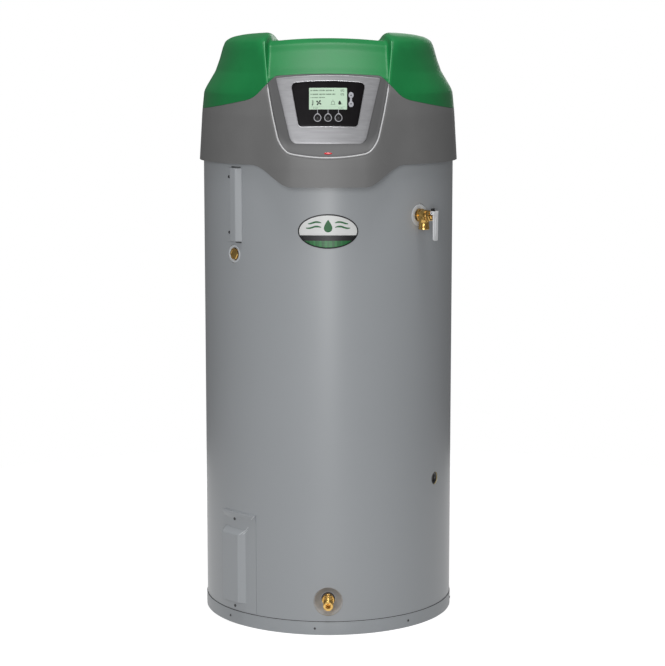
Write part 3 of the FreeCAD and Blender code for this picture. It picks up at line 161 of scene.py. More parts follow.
# Each look: colour, roughness, metal, how much its colour varies and at what scale, its grain's scale and
# relief, and whatever else it has of its own.
LOOKS = {
    "jacket_paint": ((0.385, 0.405, 0.425), 0.36, 0, 0.02, 3, 420, 0.02, dict(rough_vary=0.03)),
    "cover_paint": ((0.385, 0.405, 0.425), 0.36, 0, 0.02, 6, 420, 0.02, dict(rough_vary=0.03)),
    "base_paint": ((0.36, 0.38, 0.40), 0.42, 0, 0.04, 9, 420, 0.02),
    "galvanised": ((0.52, 0.53, 0.54), 0.42, 0.9, 0.22, 55, 160, 0.01),
    "screw_steel": ((0.05, 0.05, 0.052), 0.40, 0.5, 0.2, 400, 2500, 0.02),
    "foam": ((0.62, 0.50, 0.24), 0.9, 0, 0.15, 30, 600, 0.5),
    "tank_steel": ((0.10, 0.11, 0.14), 0.45, 0.3, 0.25, 20, 500, 0.05),
    "stainless": ((0.55, 0.55, 0.56), 0.3, 1.0, 0.08, 30, 700, 0.01),
    "brass": ((0.66, 0.43, 0.14), 0.26, 1.0, 0.16, 120, 1500, 0.03, dict(hue=(0.52, 0.31, 0.09))),
    "anode": ((0.6, 0.6, 0.6), 0.55, 0.8, 0.1, 60, 900, 0.05),
    "black_plastic": ((0.012, 0.012, 0.013), 0.4, 0, 0.3, 150, 2500, 0.03),
    "dam_ring": ((0.58, 0.61, 0.64), 0.4, 0, 0.05, 90, 1800, 0.02),
    "lever_white": ((0.78, 0.79, 0.81), 0.3, 0, 0.05, 60, 1500, 0.02, dict(coat=0.3)),
    "bright_dish": ((0.50, 0.51, 0.525), 0.24, 0.12, 0.06, 70, 900, 0.01),
    "shroud_grey": ((0.185, 0.185, 0.185), 0.50, 0, 0.05, 14, 1600, 0.035),
    "cover_green": ((0.010, 0.215, 0.057), 0.44, 0, 0.06, 11, 1600, 0.03,
                    dict(specular=0.3, hue=(0.008, 0.197, 0.052))),
    "fascia": ((0.37, 0.37, 0.385), 0.40, 0.55, 0.12, 26, 130, 0.02,
               dict(stretch=(0.25, 9, 9), grain_stretch=(0.12, 30, 30), rough_vary=0.1)),
    "bezel_black": ((0.006, 0.005, 0.006), 0.30, 0, 0.3, 40, 1500, 0.004,
                    dict(specular=0.15, rough_vary=0.03)),
    "lens": ((0.50, 0.66, 0.51), 0.3, 0, 0.03, 30, 1500, 0, dict(glow=0.10, specular=0.3)),
    "board": ((0.02, 0.16, 0.06), 0.5, 0, 0.2, 90, 900, 0.05),
    "key_black": ((0.010, 0.009, 0.010), 0.34, 0, 0.3, 200, 2500, 0.01, dict(specular=0.25)),
    "key_grey": ((0.42, 0.42, 0.46), 0.35, 0, 0.06, 200, 2500, 0.01),
    "light_red": ((0.62, 0.01, 0.02), 0.2, 0, 0.1, 300, 2500, 0, dict(coat=0.6, glow=0.25)),
    "badge": ((0.84, 0.85, 0.84), 0.35, 0, 0.03, 40, 1800, 0.01),
    "vent_plastic": ((0.70, 0.70, 0.67), 0.36, 0, 0.04, 20, 1200, 0.03),
    "cast_aluminium": ((0.50, 0.51, 0.52), 0.5, 0.8, 0.12, 50, 700, 0.15),
    "motor_black": ((0.02, 0.02, 0.022), 0.45, 0.2, 0.25, 60, 900, 0.05),
    "gas_steel": ((0.035, 0.035, 0.037), 0.45, 0.4, 0.25, 50, 900, 0.06),
    "knob_red": ((0.45, 0.02, 0.015), 0.32, 0, 0.08, 120, 2000, 0.02),
    "ink": ((0.012, 0.02, 0.014), 0.35, 0, 0.2, 300, 2500, 0),
    "ring_pale": ((0.42, 0.42, 0.45), 0.35, 0, 0.08, 200, 2500, 0),
    "badge_black": ((0.010, 0.010, 0.011), 0.35, 0, 0.2, 80, 1800, 0, dict(specular=0.3)),
    "badge_green": ((0.02, 0.20, 0.05), 0.3, 0, 0.5, 90, 700, 0,
                    dict(stretch=(1, 1, 0.02), grain_stretch=(1, 1, 0.01), specular=0.3,
                         hue=(0.006, 0.05, 0.02))),
    # A near-black for the dark seam at the base ring, and for painted shadow at the channel cover's ends.
    "seam_line": ((0.05, 0.05, 0.052), 0.6, 0, 0.2, 90, 900, 0),
    # Painted highlight: a light grey for the glints along the access cover's folds.
    "edge_light": ((0.62, 0.64, 0.66), 0.3, 0, 0.05, 60, 900, 0),
    # Painted highlight: lighter grey and green for the bead along the recess edge.
    "bead_grey": ((0.60, 0.60, 0.61), 0.35, 0, 0.04, 60, 1800, 0.01),
    "bead_green": ((0.10, 0.42, 0.18), 0.35, 0, 0.05, 60, 1800, 0.01),
    "fascia_rim": ((0.66, 0.66, 0.68), 0.3, 0.85, 0.06, 60, 900, 0.01),
    "ink_soft": ((0.10, 0.16, 0.11), 0.4, 0, 0.1, 300, 2500, 0),
    "ring_dark": ((0.06, 0.06, 0.065), 0.35, 0, 0.1, 300, 2500, 0),
    "badge_leaf": ((0.012, 0.15, 0.04), 0.4, 0, 0.12, 120, 1800, 0, dict(specular=0.3)),
    # Painted shade: a darker grey for the moulding inside the recess.
    "recess_grey": ((0.088, 0.088, 0.090), 0.55, 0, 0.05, 14, 1600, 0.035),
}
looks = {name: finish(name, *values) for name, values in LOOKS.items()}
slot_of = {row["node"]: row["material_slot"] for row in record["subparts"]}
for name, node in nodes.items():
    node.data.materials.clear()
    node.data.materials.append(looks[slot_of[name]])

# ---------------------------------------------------------------- making pieces


def in_scene(name, data):
    """A new object, linked to the scene."""
    obj = bpy.data.objects.new(name, data)
    bpy.context.scene.collection.objects.link(obj)
    return obj


def welded(name, points, faces, gap):
    """An object from points in millimetres: points within the gap become one, and its faces turn outwards."""
    mesh = bpy.data.meshes.new(name)
    mesh.from_pydata([tuple(p) for p in np.asarray(points, float) * MM], [],
                     [tuple(int(i) for i in f) for f in faces])
    mesh.validate()
    mesh.update()
    obj = in_scene(name, mesh)
    work = bmesh.new()
    work.from_mesh(mesh)
    bmesh.ops.remove_doubles(work, verts=work.verts, dist=gap * MM)
    bmesh.ops.recalc_face_normals(work, faces=work.faces)
    work.to_mesh(mesh)
    work.free()
    return obj


def piece(name, points, faces, look, body="tank", node=None, slot=None, angle=40):
    """A mesh that rides on a body, with its look and the CAD node that it stands for; the record slot it
    works out is not used.
    """
    obj = welded(name, points, faces, 0.002)
    obj.data.materials.append(looks[look])
    smooth(obj, angle)
    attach(obj, body)
    if node:
        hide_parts(node)
    if slot is None and look in {m["slot"] for m in record["materials"]}:
        slot = look
    return obj


def smooth(obj, angle):
    """Smooth shading, with edges sharper than the angle kept sharp."""
    mesh = obj.data
    mesh.polygons.foreach_set("use_smooth", [True] * len(mesh.polygons))
    mesh.set_sharp_from_angle(angle=math.radians(angle))


def modify(obj, kind, **values):
    """Adds a modifier with the given settings."""
    modifier = obj.modifiers.new(kind.title(), kind)
    for key, value in values.items():
        setattr(modifier, key, value)


def settle(obj):
    """Applies every modifier of a piece, so that the mesh is final."""
    graph = bpy.context.evaluated_depsgraph_get()
    mesh = bpy.data.meshes.new_from_object(obj.evaluated_get(graph))
    obj.modifiers.clear()
    obj.data = mesh
    return obj


def grid_faces(rows, columns, closed=False):
    """Quads over a grid of rows by columns; closed joins the last column to the first."""
    last = columns if closed else columns - 1
    return [(r * columns + c, r * columns + (c + 1) % columns, (r + 1) * columns + (c + 1) % columns,
             (r + 1) * columns + c)
            for r in range(rows - 1) for c in range(last)]


def lathe(profile, place, count=64, shape=None, thread=None):
    """Points and faces of a turned form: (radius, height) pairs about the frame's axis.
    shape changes the radius with the angle; thread is (low, high, pitch, depth)."""
    profile = np.asarray(profile, float)
    turn = np.linspace(0, 2 * math.pi, count, endpoint=False)
    points = []
    for radius, out in profile:
        r = np.full(count, radius)
        if shape is not None:
            r = r * shape(turn)
        if thread and thread[0] <= out <= thread[1]:
            phase = (out / thread[2] - turn / (2 * math.pi)) % 1
            r = r - thread[3] * np.abs(2 * phase - 1)
        points.append(np.stack([r * np.cos(turn), r * np.sin(turn), np.full(count, out)], 1))
    return place(np.concatenate(points)), grid_faces(len(profile), count, True)


def together(*parts):
    """Several (points, faces) sets as one."""
    points, faces, start = [], [], 0
    for some, these in parts:
        points.append(np.asarray(some, float))
        faces += [tuple(i + start for i in face) for face in these]
        start += len(some)
    return np.concatenate(points), faces


def offset(outline, distance):
    """A closed outline moved inwards by a distance."""
    before, after = np.roll(outline, 1, 0), np.roll(outline, -1, 0)
    tangent = after - before
    tangent /= np.linalg.norm(tangent, axis=1)[:, None] + 1e-12
    inward = np.stack([-tangent[:, 1], tangent[:, 0]], 1)
    area = np.sum(outline[:, 0] * after[:, 1] - after[:, 0] * outline[:, 1])
    return outline + inward * distance * np.sign(area)


def plate(outline, low, high, bevel, place, rings=6, dome=0.0):
    """A plate of the given outline with a rounded upper edge, laid in a frame; dome raises its middle."""
    outline = np.asarray(outline, float)
    centre = outline.mean(0)
    layers = [(outline, low), (outline, high - bevel)]
    for step in (30, 60, 90):
        a = math.radians(step)
        layers.append((offset(outline, bevel * (1 - math.cos(a))), high - bevel + bevel * math.sin(a)))
    inner = layers[-1][0]
    for k in range(1, rings):
        share = 1 - k / rings
        layers.append((centre + (inner - centre) * share, high + dome * (1 - share ** 2)))
    points = [np.column_stack([xy, np.full(len(xy), z)]) for xy, z in layers]
    faces = grid_faces(len(layers), len(outline), True)
    tip = len(layers) * len(outline)
    points.append(np.array([[*centre, high + dome]]))
    start = tip - len(outline)
    faces += [(start + k, start + (k + 1) % len(outline), tip) for k in range(len(outline))]
    return place(np.concatenate(points)), faces


def divided(outline, spacing):
    """A closed outline with its long sides divided, so that it can bend."""
    dense = []
    for k, p in enumerate(outline):
        q = outline[(k + 1) % len(outline)]
        count = max(1, int(np.linalg.norm(q - p) / spacing))
        dense += [p + (q - p) * j / count for j in range(count)]
    return np.array(dense)


def rounded(corners, radii, steps=8, spacing=None):
    """A polygon with rounded corners, divided if a spacing is given."""
    corners = [np.array(c, float) for c in corners]
    points = []
    for k, corner in enumerate(corners):
        before, after = corners[k - 1], corners[(k + 1) % len(corners)]
        radius = radii[k] if hasattr(radii, "__len__") else radii
        a, b = before - corner, after - corner
        a, b = a / np.linalg.norm(a), b / np.linalg.norm(b)
        half = math.acos(np.clip(a @ b, -1, 1)) / 2
        reach = radius / math.tan(half)
        start, end = corner + a * reach, corner + b * reach
        middle = corner + (a + b) / np.linalg.norm(a + b) * radius / math.sin(half)
        a0, a1 = start - middle, end - middle
        angle0, angle1 = math.atan2(a0[1], a0[0]), math.atan2(a1[1], a1[0])
        sweep = (angle1 - angle0 + math.pi) % (2 * math.pi) - math.pi
        for j in range(steps + 1):
            t = angle0 + sweep * j / steps
            points.append(middle + radius * np.array((math.cos(t), math.sin(t))))
    return divided(points, spacing) if spacing else np.array(points)


def ellipse(half_width, half_height, centre=(0, 0), count=96):
    """An oval outline."""
    turn = np.linspace(0, 2 * math.pi, count, endpoint=False)
    return np.stack([centre[0] + half_width * np.cos(turn), centre[1] + half_height * np.sin(turn)], 1)


def sweep(path, radius, count):
    """A round tube along a path of points, with closed, parallel rings."""
    path = np.asarray(path, float)
    tangent = np.gradient(path, axis=0)
    tangent /= np.linalg.norm(tangent, axis=1)[:, None]
    side = np.cross(tangent[0], (0.3, 0.5, 0.81))
    turn = np.linspace(0, 2 * math.pi, count, endpoint=False)
    points = []
    for p, t, r in zip(path, tangent, np.broadcast_to(radius, len(path))):
        side = side - t * (side @ t)
        side /= np.linalg.norm(side)
        points.append(p + r * (np.outer(np.cos(turn), side) + np.outer(np.sin(turn), np.cross(t, side))))
    return np.concatenate(points), grid_faces(len(path), count, True)


def rod(path, radius, count):
    """A round tube along a path, closed at both ends."""
    points, faces = sweep(path, radius, count)
    return points, faces + [tuple(range(count - 1, -1, -1)), tuple(range(len(points) - count, len(points)))]


# ---------------------------------------------------------------- the hood's form

# Height, half width, half depth and nose of the hood's plan, an ellipse with a nose at the front.
HOOD = np.array([
    (1200, 366.8, 366.8, 32), (1290, 363.8, 363.8, 32), (1423, 355.7, 356.5, 27.5), (1480, 349.8, 350.0, 24),
    (1493, 344.0, 347.5, 23), (1537, 317.5, 340.0, 20.5), (1571, 305.2, 333.5, 18.5),
    (1602, 296.5, 327.0, 16.5), (1620, 289.0, 319.0, 15), (1632, 270.0, 301.0, 13.5),
    (1641, 225.0, 255.0, 11), (1646, 165.0, 195.0, 7)])
CROWN = 1646.0
SEAM = np.array([(0, 1534.0), (70, 1532.6), (141, 1528.5), (166, 1504.5), (196, 1473.0), (216, 1463.5),
                 (280, 1449.0), (370, 1430.0)])
# The recess above the panel, in side view: how far in front of the axis, and height.
FACE = np.array([(315.1, 1532.0), (301.0, 1552.0), (281.0, 1575.0), (262.0, 1597.0), (251.0, 1616.0),
                 (230.0, 1628.0), (-480.0, 1628.0)])
HEM_LOW, HEM_HIGH, HEM_FLAT, HEM_WAVE = 1236.0, 1291.0, 100.0, 205.0
# The recess: lowest height, half width there, side slope and corner radius at its mouth, and what each step
# of depth adds to them; how much its floor sags across; and the valley behind it.
MOUTH_Y, DEPTH_STEP, DEEPEST, SAG = -400, 150, 1.533, 0.00087
MOUTH = np.array([[1307], [131.3], [0.386], [26]])
DEEPER = np.array([[182], [10.0], [-0.179], [-10]])
VALLEY_HALF, VALLEY_TOP, VALLEY_SLOPE = 146, 1616, 0.4565
SEAT_Y, SEAT_Z, SEAT_LEAN = -363.1, 1348, 0.26087
HOOD_WALL = 3 * MM


def softened(xs, ys, low, high, width, step=1.0):
    """A table of a broken line with its corners rounded over a width."""
    x = np.arange(low, high + step, step)
    y = np.interp(x, xs, ys)
    kernel = np.exp(-0.5 * (np.arange(-4 * width, 4 * width + step, step) / width) ** 2)
    pad = len(kernel) // 2
    padded = np.concatenate([2 * y[0] - y[pad:0:-1], y, 2 * y[-1] - y[-2:-pad - 2:-1]])
    return x, np.convolve(padded, kernel / kernel.sum(), "valid")[:len(x)]


PLAN = [softened(HOOD[:, 0], HOOD[:, k], 1200, CROWN, 3.0, 0.5) for k in (1, 2, 3)]
SEAM_LINE = softened(np.r_[-SEAM[::-1, 0], SEAM[1:, 0]], np.r_[SEAM[::-1, 1], SEAM[1:, 1]], -370, 370, 5)
FACE_LINE = softened(-FACE[:, 0], FACE[:, 1], -316, 480, 2.5)


def smooth_step(t):
    """0 to 1 with level ends."""
    t = np.clip(t, 0, 1)
    return t * t * (3 - 2 * t)


def hem_height(x, y):
    """The lower edge, which dips at the front."""
    rise = smooth_step((np.abs(x) - HEM_FLAT) / (HEM_WAVE - HEM_FLAT))
    return np.where(y < 0, HEM_LOW + rise * (HEM_HIGH - HEM_LOW), HEM_HIGH)


def seam_height(x, _):
    """The seam between the grey shroud and the green cover."""
    return np.interp(x, *SEAM_LINE)


def soft_max(a, b, width):
    """The larger of two fields, rounded where they meet."""
    h = np.maximum(width - np.abs(a - b), 0) / width
    return np.maximum(a, b) + h * h * width / 4


def true_distance(field, p):
    """A field divided by its own slope, which makes it close to a distance near its zero."""
    here, step = field(p), 0.5
    slope = sum(((field(p + step * axis) - here) / step) ** 2 for axis in np.eye(3))
    return here / np.sqrt(slope + 1e-9)


def outer_field(p):
    """Negative inside the hood's outer form."""
    x, y, z = p.T
    wide, deep, nose = (np.interp(z, *table) for table in PLAN)
    share = 0.5 * (1 + np.cos(math.pi * np.clip((np.abs(x) - 95) / 120, 0, 1)))
    ahead = np.where(y < 0, np.minimum(0, y + nose * share), y)
    return (np.sqrt((x / wide) ** 2 + (ahead / deep) ** 2) - 1) * 300


def pocket_field(p):
    """Negative in the flared pocket and in the valley that runs back from it."""
    x, y, z = p.T
    depth = np.minimum((y - MOUTH_Y) / DEPTH_STEP, DEEPEST)
    low, foot, slope, corner = MOUTH + DEEPER * depth
    wide = foot + slope * (z - low)
    valley = VALLEY_HALF + np.maximum(z - VALLEY_TOP, 0) * VALLEY_SLOPE
    wide += (valley - wide) * smooth_step((y + 220) / 80)
    side = (np.abs(x) - wide) / np.sqrt(1 + slope ** 2) + corner
    under = low - SAG * x * x - z + corner
    outside = np.hypot(np.maximum(side, 0), np.maximum(under, 0))
    return outside + np.minimum(np.maximum(side, under), 0) - corner


def core_field(p):
    """Negative behind the panel's seat, the sloping face and the valley's floor."""
    x, y, z = p.T
    drop, shift = 8 * (x / 150) ** 2, x * x / (2 * PANEL_CURVE)
    top = np.interp(y - shift, *FACE_LINE) - drop
    seat = SEAT_Y + SEAT_LEAN * (z - SEAT_Z) + shift
    return np.maximum(z - top, seat - y)


def hood_field(p):
    """Negative inside the hood: its outer form and crown, less the recess, with rounded edges."""
    outer = soft_max(true_distance(outer_field, p), p[:, 2] - CROWN, 8)
    recess = soft_max(true_distance(pocket_field, p), -true_distance(core_field, p), 7)
    round_edge = 6 + 9 * smooth_step((p[:, 2] - 1570) / 60)
    return soft_max(outer, -recess, round_edge)


# The hood is sampled along rays that leave a rectangle of origins inside it.
SPAN_X, SPAN_Y, CENTRE_Z = 190.0, 190.0, 1440.0
CROSS = np.unique(np.r_[np.linspace(0, 76, 12), np.linspace(76, 176, 44), SPAN_X])
CROSS = np.r_[-CROSS[:0:-1], CROSS]
SIDE = np.linspace(-SPAN_Y, SPAN_Y, 24)


def hood_columns():
    """Origin and level direction of every column, round the hood from the front left corner."""
    columns = []

    def fan(x, y, first):
        for k in range(1, 14):
            a = math.radians(first + 90 * k / 14)
            columns.append((x, y, math.sin(a), -math.cos(a)))
    columns += [(x, -SPAN_Y, 0, -1) for x in CROSS]
    fan(SPAN_X, -SPAN_Y, 0)
    columns += [(SPAN_X, y, 1, 0) for y in SIDE]
    fan(SPAN_X, SPAN_Y, 90)
    columns += [(x, SPAN_Y, 0, 1) for x in CROSS[::-1]]
    fan(-SPAN_X, SPAN_Y, 180)
    columns += [(-SPAN_X, y, -1, 0) for y in SIDE[::-1]]
    fan(-SPAN_X, -SPAN_Y, 270)
    return np.array(columns)


def cast(columns, rise):
    """Where rays at the given angles above level leave the hood."""
    way = np.stack([np.cos(rise) * columns[:, 2], np.cos(rise) * columns[:, 3], np.sin(rise)], 1)
    start = np.column_stack([columns[:, :2], np.full(len(columns), CENTRE_Z)])
    near, far = np.zeros(len(columns)), np.full(len(columns), 420.0)
    for _ in range(20):
        middle = (near + far) / 2
        outside = hood_field(start + way * middle[:, None]) > 0
        far = np.where(outside, middle, far)
        near = np.where(outside, near, middle)
    return start + way * far[:, None]


def find_rise(columns, height_at, low, high):
    """The angle at which each column crosses a line of given height."""
    low, high = np.full(len(columns), low), np.full(len(columns), high)
    for _ in range(16):
        middle = (low + high) / 2
        p = cast(columns, middle)
        above = p[:, 2] > height_at(p[:, 0], p[:, 1])
        high = np.where(above, middle, high)
        low = np.where(above, low, middle)
    return (low + high) / 2


def hood_band(columns, low, high, count):
    """A grid of points between two angles of each column, evenly spaced along the surface."""
    trial = np.linspace(0, 1, 60)
    lines = np.stack([cast(columns, low + (high - low) * t) for t in trial])
    steps = np.linalg.norm(np.diff(lines, axis=0), axis=2)
    length = np.concatenate([np.zeros((1, len(columns))), np.cumsum(steps, 0)])
    length /= length[-1]
    rows = []
    for t in np.linspace(0, 1, count):
        share = np.array([np.interp(t, length[:, c], trial) for c in range(len(columns))])
        rows.append(cast(columns, low + (high - low) * share))
    return np.stack(rows)


def hood_shells():
    """Point grids of the shroud, the cover's wall and the cover's roof."""
    columns = hood_columns()
    hem = find_rise(columns, hem_height, math.radians(-65), math.radians(-5))
    seam = find_rise(columns, seam_height, math.radians(-30), math.radians(60))
    gap = 0.35
    up = find_rise(columns, lambda x, y: seam_height(x, y) + 2 * gap, math.radians(-30), math.radians(60))
    lower = hood_band(columns, hem, seam, LOWER_ROWS)
    upper = hood_band(columns, up, np.full(len(columns), math.pi / 2), UPPER_ROWS)
    x_side = np.tile(CROSS, (len(SIDE), 1))
    y_side = np.tile(SIDE[:, None], (1, len(CROSS)))
    flat = np.column_stack([x_side.ravel(), y_side.ravel(), np.zeros(x_side.size), np.zeros(x_side.size)])
    roof = cast(flat, np.full(len(flat), math.pi / 2))
    return lower, upper, roof


LOWER_ROWS, UPPER_ROWS = ((110, 90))
lower, upper, roof = hood_shells()
around = lower.shape[1]
shroud = piece("shroud_shell", lower.reshape(-1, 3), grid_faces(len(lower), around, True), "shroud_grey",
               node="lower_shroud", angle=60)
cover = piece("cover_shell", *together((upper.reshape(-1, 3), grid_faces(len(upper), around, True)),
                                       (roof, grid_faces(len(SIDE), len(CROSS)))), "cover_green",
              body="top_cover", node="top_cover", angle=60)
for shell in (shroud, cover):
    modify(shell, "SOLIDIFY", thickness=HOOD_WALL, offset=-1.0, use_even_offset=False)
    settle(shell)
    smooth(shell, 60)

# Painted shade: the moulding's faces inside the recess get a darker grey that stands for the shade there.
centres = np.array([face.center for face in shroud.data.polygons]) / MM
painted_shade_faces = (outer_field(centres) < -1.2) & (centres[:, 1] < 0)
shroud.data.materials.append(looks["recess_grey"])
shroud.data.polygons.foreach_set("material_index", painted_shade_faces.astype(np.int32))

# Painted highlight: a light bead runs along the edge of the recess, grey on the shroud and green on the
# cover, lighter than the moulding to stand for the rounded edge catching light.


def crease(angles):
    """Points where the hood's outer face meets the recess, seen at angles about the panel's middle."""
    way = np.stack([np.sin(angles), np.zeros(len(angles)), -np.cos(angles)], 1)

    def on_face(reach):
        p = np.array([0, 0, CENTRE_Z]) + way * reach[:, None]
        near, far = np.full(len(p), -200.0), np.full(len(p), -420.0)
        for _ in range(24):
            p[:, 1] = (near + far) / 2
            inside = outer_field(p) < 0
            near, far = np.where(inside, p[:, 1], near), np.where(inside, far, p[:, 1])
        return p
    low, high = np.full(len(angles), 60.0), np.full(len(angles), 260.0)
    for _ in range(24):
        middle = (low + high) / 2
        inside = pocket_field(on_face(middle)) < 0
        low, high = np.where(inside, middle, low), np.where(inside, high, middle)
    return on_face(low)


def bead(name, path, radius, look, body):
    """A round bead that lies half sunk along a line, thinning to nothing at its ends."""
    share = np.linspace(0, 1, len(path))
    taper = np.clip(np.minimum(share, 1 - share) / 0.02, 0.25, 1)
    centre = path * (1 - np.array([0.006, 0.004, 0]))
    return piece(name, *rod(centre, radius * taper, 12), look, body=body, angle=80)


edge = crease(np.radians(np.linspace(-141, 141, 500)))
edge_seam = seam_height(edge[:, 0], 0)
# The bead's lighter colour is a painted highlight.
bead("recess_bead", edge[edge[:, 2] < edge_seam - 0.5], 2.1, "bead_grey", "tank")
on_cover = (edge[:, 2] > edge_seam + 0.8) & (edge[:, 2] < 1622)
for side, name in ((-1, "left_horn_bead"), (1, "right_horn_bead")):
    bead(name, edge[on_cover & (side * edge[:, 0] > 0)], 1.5, "bead_green", "top_cover")

# ---------------------------------------------------------------- display panel


def arched(corners, radii, arch, spacing=6):
    """A rounded outline whose top edge is slightly arched."""
    outline = rounded(corners, radii, 8, spacing)
    half, top = max(c[0] for c in corners), max(c[1] for c in corners)
    near_top = smooth_step((outline[:, 1] - top + 12) / 12)
    outline[:, 1] += near_top * arch * (1 - np.clip(outline[:, 0] / half, -1, 1) ** 2)
    return outline


def trapezoid(low, high, half_low, half_high):
    """Corners of a panel that is wider at its top."""
    return [(half_high, high), (-half_high, high), (-half_low, low), (half_low, low)]


piece("fascia_plate", *plate(arched(trapezoid(-94.5, 88.5, 98, 140), (3, 3, 30, 30), 5.5), -2.4, 0.0, 1.3,
                             panel, 14),
      "fascia", node="control_panel", angle=50)
piece("bezel_rim", *plate(arched(trapezoid(-47.4, 74.6, 79.4, 100.6), (12, 12, 13, 13), 4.5), -0.5, 0.9, 0.8,
                          panel, 10),
      "fascia_rim", slot="fascia", angle=50)
piece("bezel_face", *plate(arched(trapezoid(-46.2, 73.2, 78.2, 99.4), (11, 11, 12, 12), 4.5), 0.4, 2.3, 0.9,
                           panel, 12),
      "bezel_black", node="display_bezel", angle=50)
screen = rounded([(50.5, 58.5), (-50.5, 58.5), (-50.5, 0), (50.5, 0)], 1.0, 4, 6)
piece("display_face", *plate(screen, 1.6, 2.7, 0.3, panel, 10), "lens", node="display_lens", angle=50)


def inked(name, outlines, look="ink", high=2.85, low=2.5, body="tank", slot="lens"):
    """Flat marks printed on the panel."""
    return piece(name, *together(*[plate(o, low, high, 0.05, panel, 2) for o in outlines]), look, body=body,
                 slot=slot, angle=50)


def bar(left, right, middle, height):
    """A stroke with slightly rounded corners."""
    return rounded([(right, middle + height / 2), (left, middle + height / 2), (left, middle - height / 2),
                    (right, middle - height / 2)], min(height, right - left) * 0.2, 3)


def dashes(left, right, middle, height, widths):
    """A row of short strokes that stands for a line of print."""
    marks, x, k = [], left, 0
    while x < right:
        width = widths[k % len(widths)]
        marks.append(bar(x, min(x + width, right), middle, height))
        x, k = x + width + (0.9 if k % 5 else 2.4), k + 1
    return marks


SEGMENTS = {"0": "abcdef", "1": "bc", "2": "abged", "5": "afgcd"}


def digits(text, left, middle, height):
    """Seven-segment figures."""
    width, thick, marks = height * 0.55, height * 0.16, []
    for k, figure in enumerate(text):
        x0 = left + k * (width + height * 0.3)
        x1, y0, y1 = x0 + width, middle - height / 2, middle + height / 2
        strokes = {"a": (x0, x1, y1, 0), "g": (x0, x1, middle, 0), "d": (x0, x1, y0, 0),
                   "f": (x0, middle, y1, 1), "b": (x1, middle, y1, 1), "e": (x0, y0, middle, 1),
                   "c": (x1, y0, middle, 1)}
        for key in SEGMENTS[figure]:
            p, q, r, upright_stroke = strokes[key]
            if upright_stroke:
                marks.append(bar(p - thick / 2, p + thick / 2, (q + r) / 2, r - q))
            else:
                marks.append(bar(p, q, r, thick))
    return marks


WORDS = (3.1, 2.2, 2.7, 1.6, 2.9, 2.4, 1.9)
inked("display_print", dashes(-46.5, 16.5, 51.3, 3.4, WORDS) + dashes(-46.5, 19, 41, 3.4, WORDS[2:])
      + dashes(-46.5, -7, 32.2, 2.4, WORDS[1:]) + digits("120", 31, 51.3, 5.0) + digits("125", 31, 41, 5.0)
      + dashes(-39, -27, 4.0, 1.8, (2.2, 1.6)) + dashes(28, 40, 4.0, 1.8, (2.2, 1.6))
      + [bar(-46, 46, 7.4, 0.5)], "ink_soft")


def blade(turn, reach, centre):
    """One blade of the fan sign."""
    t = np.linspace(0, math.pi, 9)
    r = np.r_[reach * (0.18 + 0.82 * np.sin(t) ** 0.6), 0.12 * reach]
    a = np.r_[math.radians(turn) + (t / math.pi - 0.5) * 1.15, math.radians(turn) + math.pi]
    return np.stack([centre[0] + r * np.cos(a), centre[1] + r * np.sin(a)], 1)


def drop(centre, size):
    """A water drop, point up."""
    t = np.linspace(0, 2 * math.pi, 24, endpoint=False)
    return np.stack([centre[0] + size * 0.8 * np.sin(t) * np.sin(t / 2) ** 1.2,
                     centre[1] + size * np.cos(t) * 0.9], 1)


inked("display_signs", [blade(turn, 8.0, (-24.7, 18.3)) for turn in (55, 145, 235, 325)]
      + [bar(-42.4, -40.9, 18.8, 13), ellipse(1.7, 1.9, (-41.65, 12.6), 16), bar(-38.8, -38, 18.8, 11)]
      + [drop((31, 18.6), 6.6)])
inked("display_faint_signs", [bar(7.2, 19, 13.0, 1.1), bar(12.4, 13.8, 24.6, 3.0), bar(8.6, 9.6, 17.5, 6.5),
                              bar(16.6, 17.6, 17.5, 6.5), bar(9.2, 17.0, 21.3, 1.0),
                              bar(36.0, 37.0, 15.0, 5.0)],
      "ink_soft")


def hoop(outer, inner):
    """A flat ring between two outlines of equal count, as points and faces in the panel's frame."""
    count = len(outer)
    layers = [(outer, 2.2), (outer, 2.55), (offset(outer, 0.25), 2.75), (offset(inner, -0.25), 2.75),
              (inner, 2.55), (inner, 2.2)]
    points = np.concatenate([np.column_stack([xy, np.full(count, z)]) for xy, z in layers])
    return panel(points), grid_faces(len(layers), count, True)


def teardrop(centre, radius, peak):
    """A circle drawn up to a small peak."""
    outline = ellipse(radius, radius, centre, 64)
    lift = np.clip((outline[:, 1] - centre[1]) / radius, 0, 1) ** 5
    outline[:, 1] += lift * peak
    return outline


KEYS, KEY_Y = {"left": -27.9, "middle": 0.0, "right": 27.9}, -22.9
ARROWS, ARROW_X = {"up": (39.2, 1), "down": (14.6, -1)}, 61.2
marks = []
for x in KEYS.values():
    marks.append(hoop(teardrop((x, KEY_Y), 10.2, 2.4), teardrop((x, KEY_Y), 8.3, 1.6)))
    marks.append(plate(bar(x - 0.7, x + 0.7, -5.4, 10.8), 2.2, 2.7, 0.1, panel, 2))
piece("key_outlines", *together(*marks), "ring_pale", slot="key_grey", angle=50)
piece("arrow_neck", *plate(bar(58.2, 63.8, 27.0, 9.0), 1.8, 2.6, 0.3, panel, 3), "key_grey", angle=50)


def key(name, centre, half_width, half_height, look):
    """A push key: a domed button with a rounded edge."""
    button = plate(ellipse(half_width, half_height, centre, 48), 1.0, 3.3, 0.7, panel, 5, 0.35)
    return piece(name, *button, look, body=name.replace("button_", "") + "_key", node="key_" + name[7:],
                 angle=50)


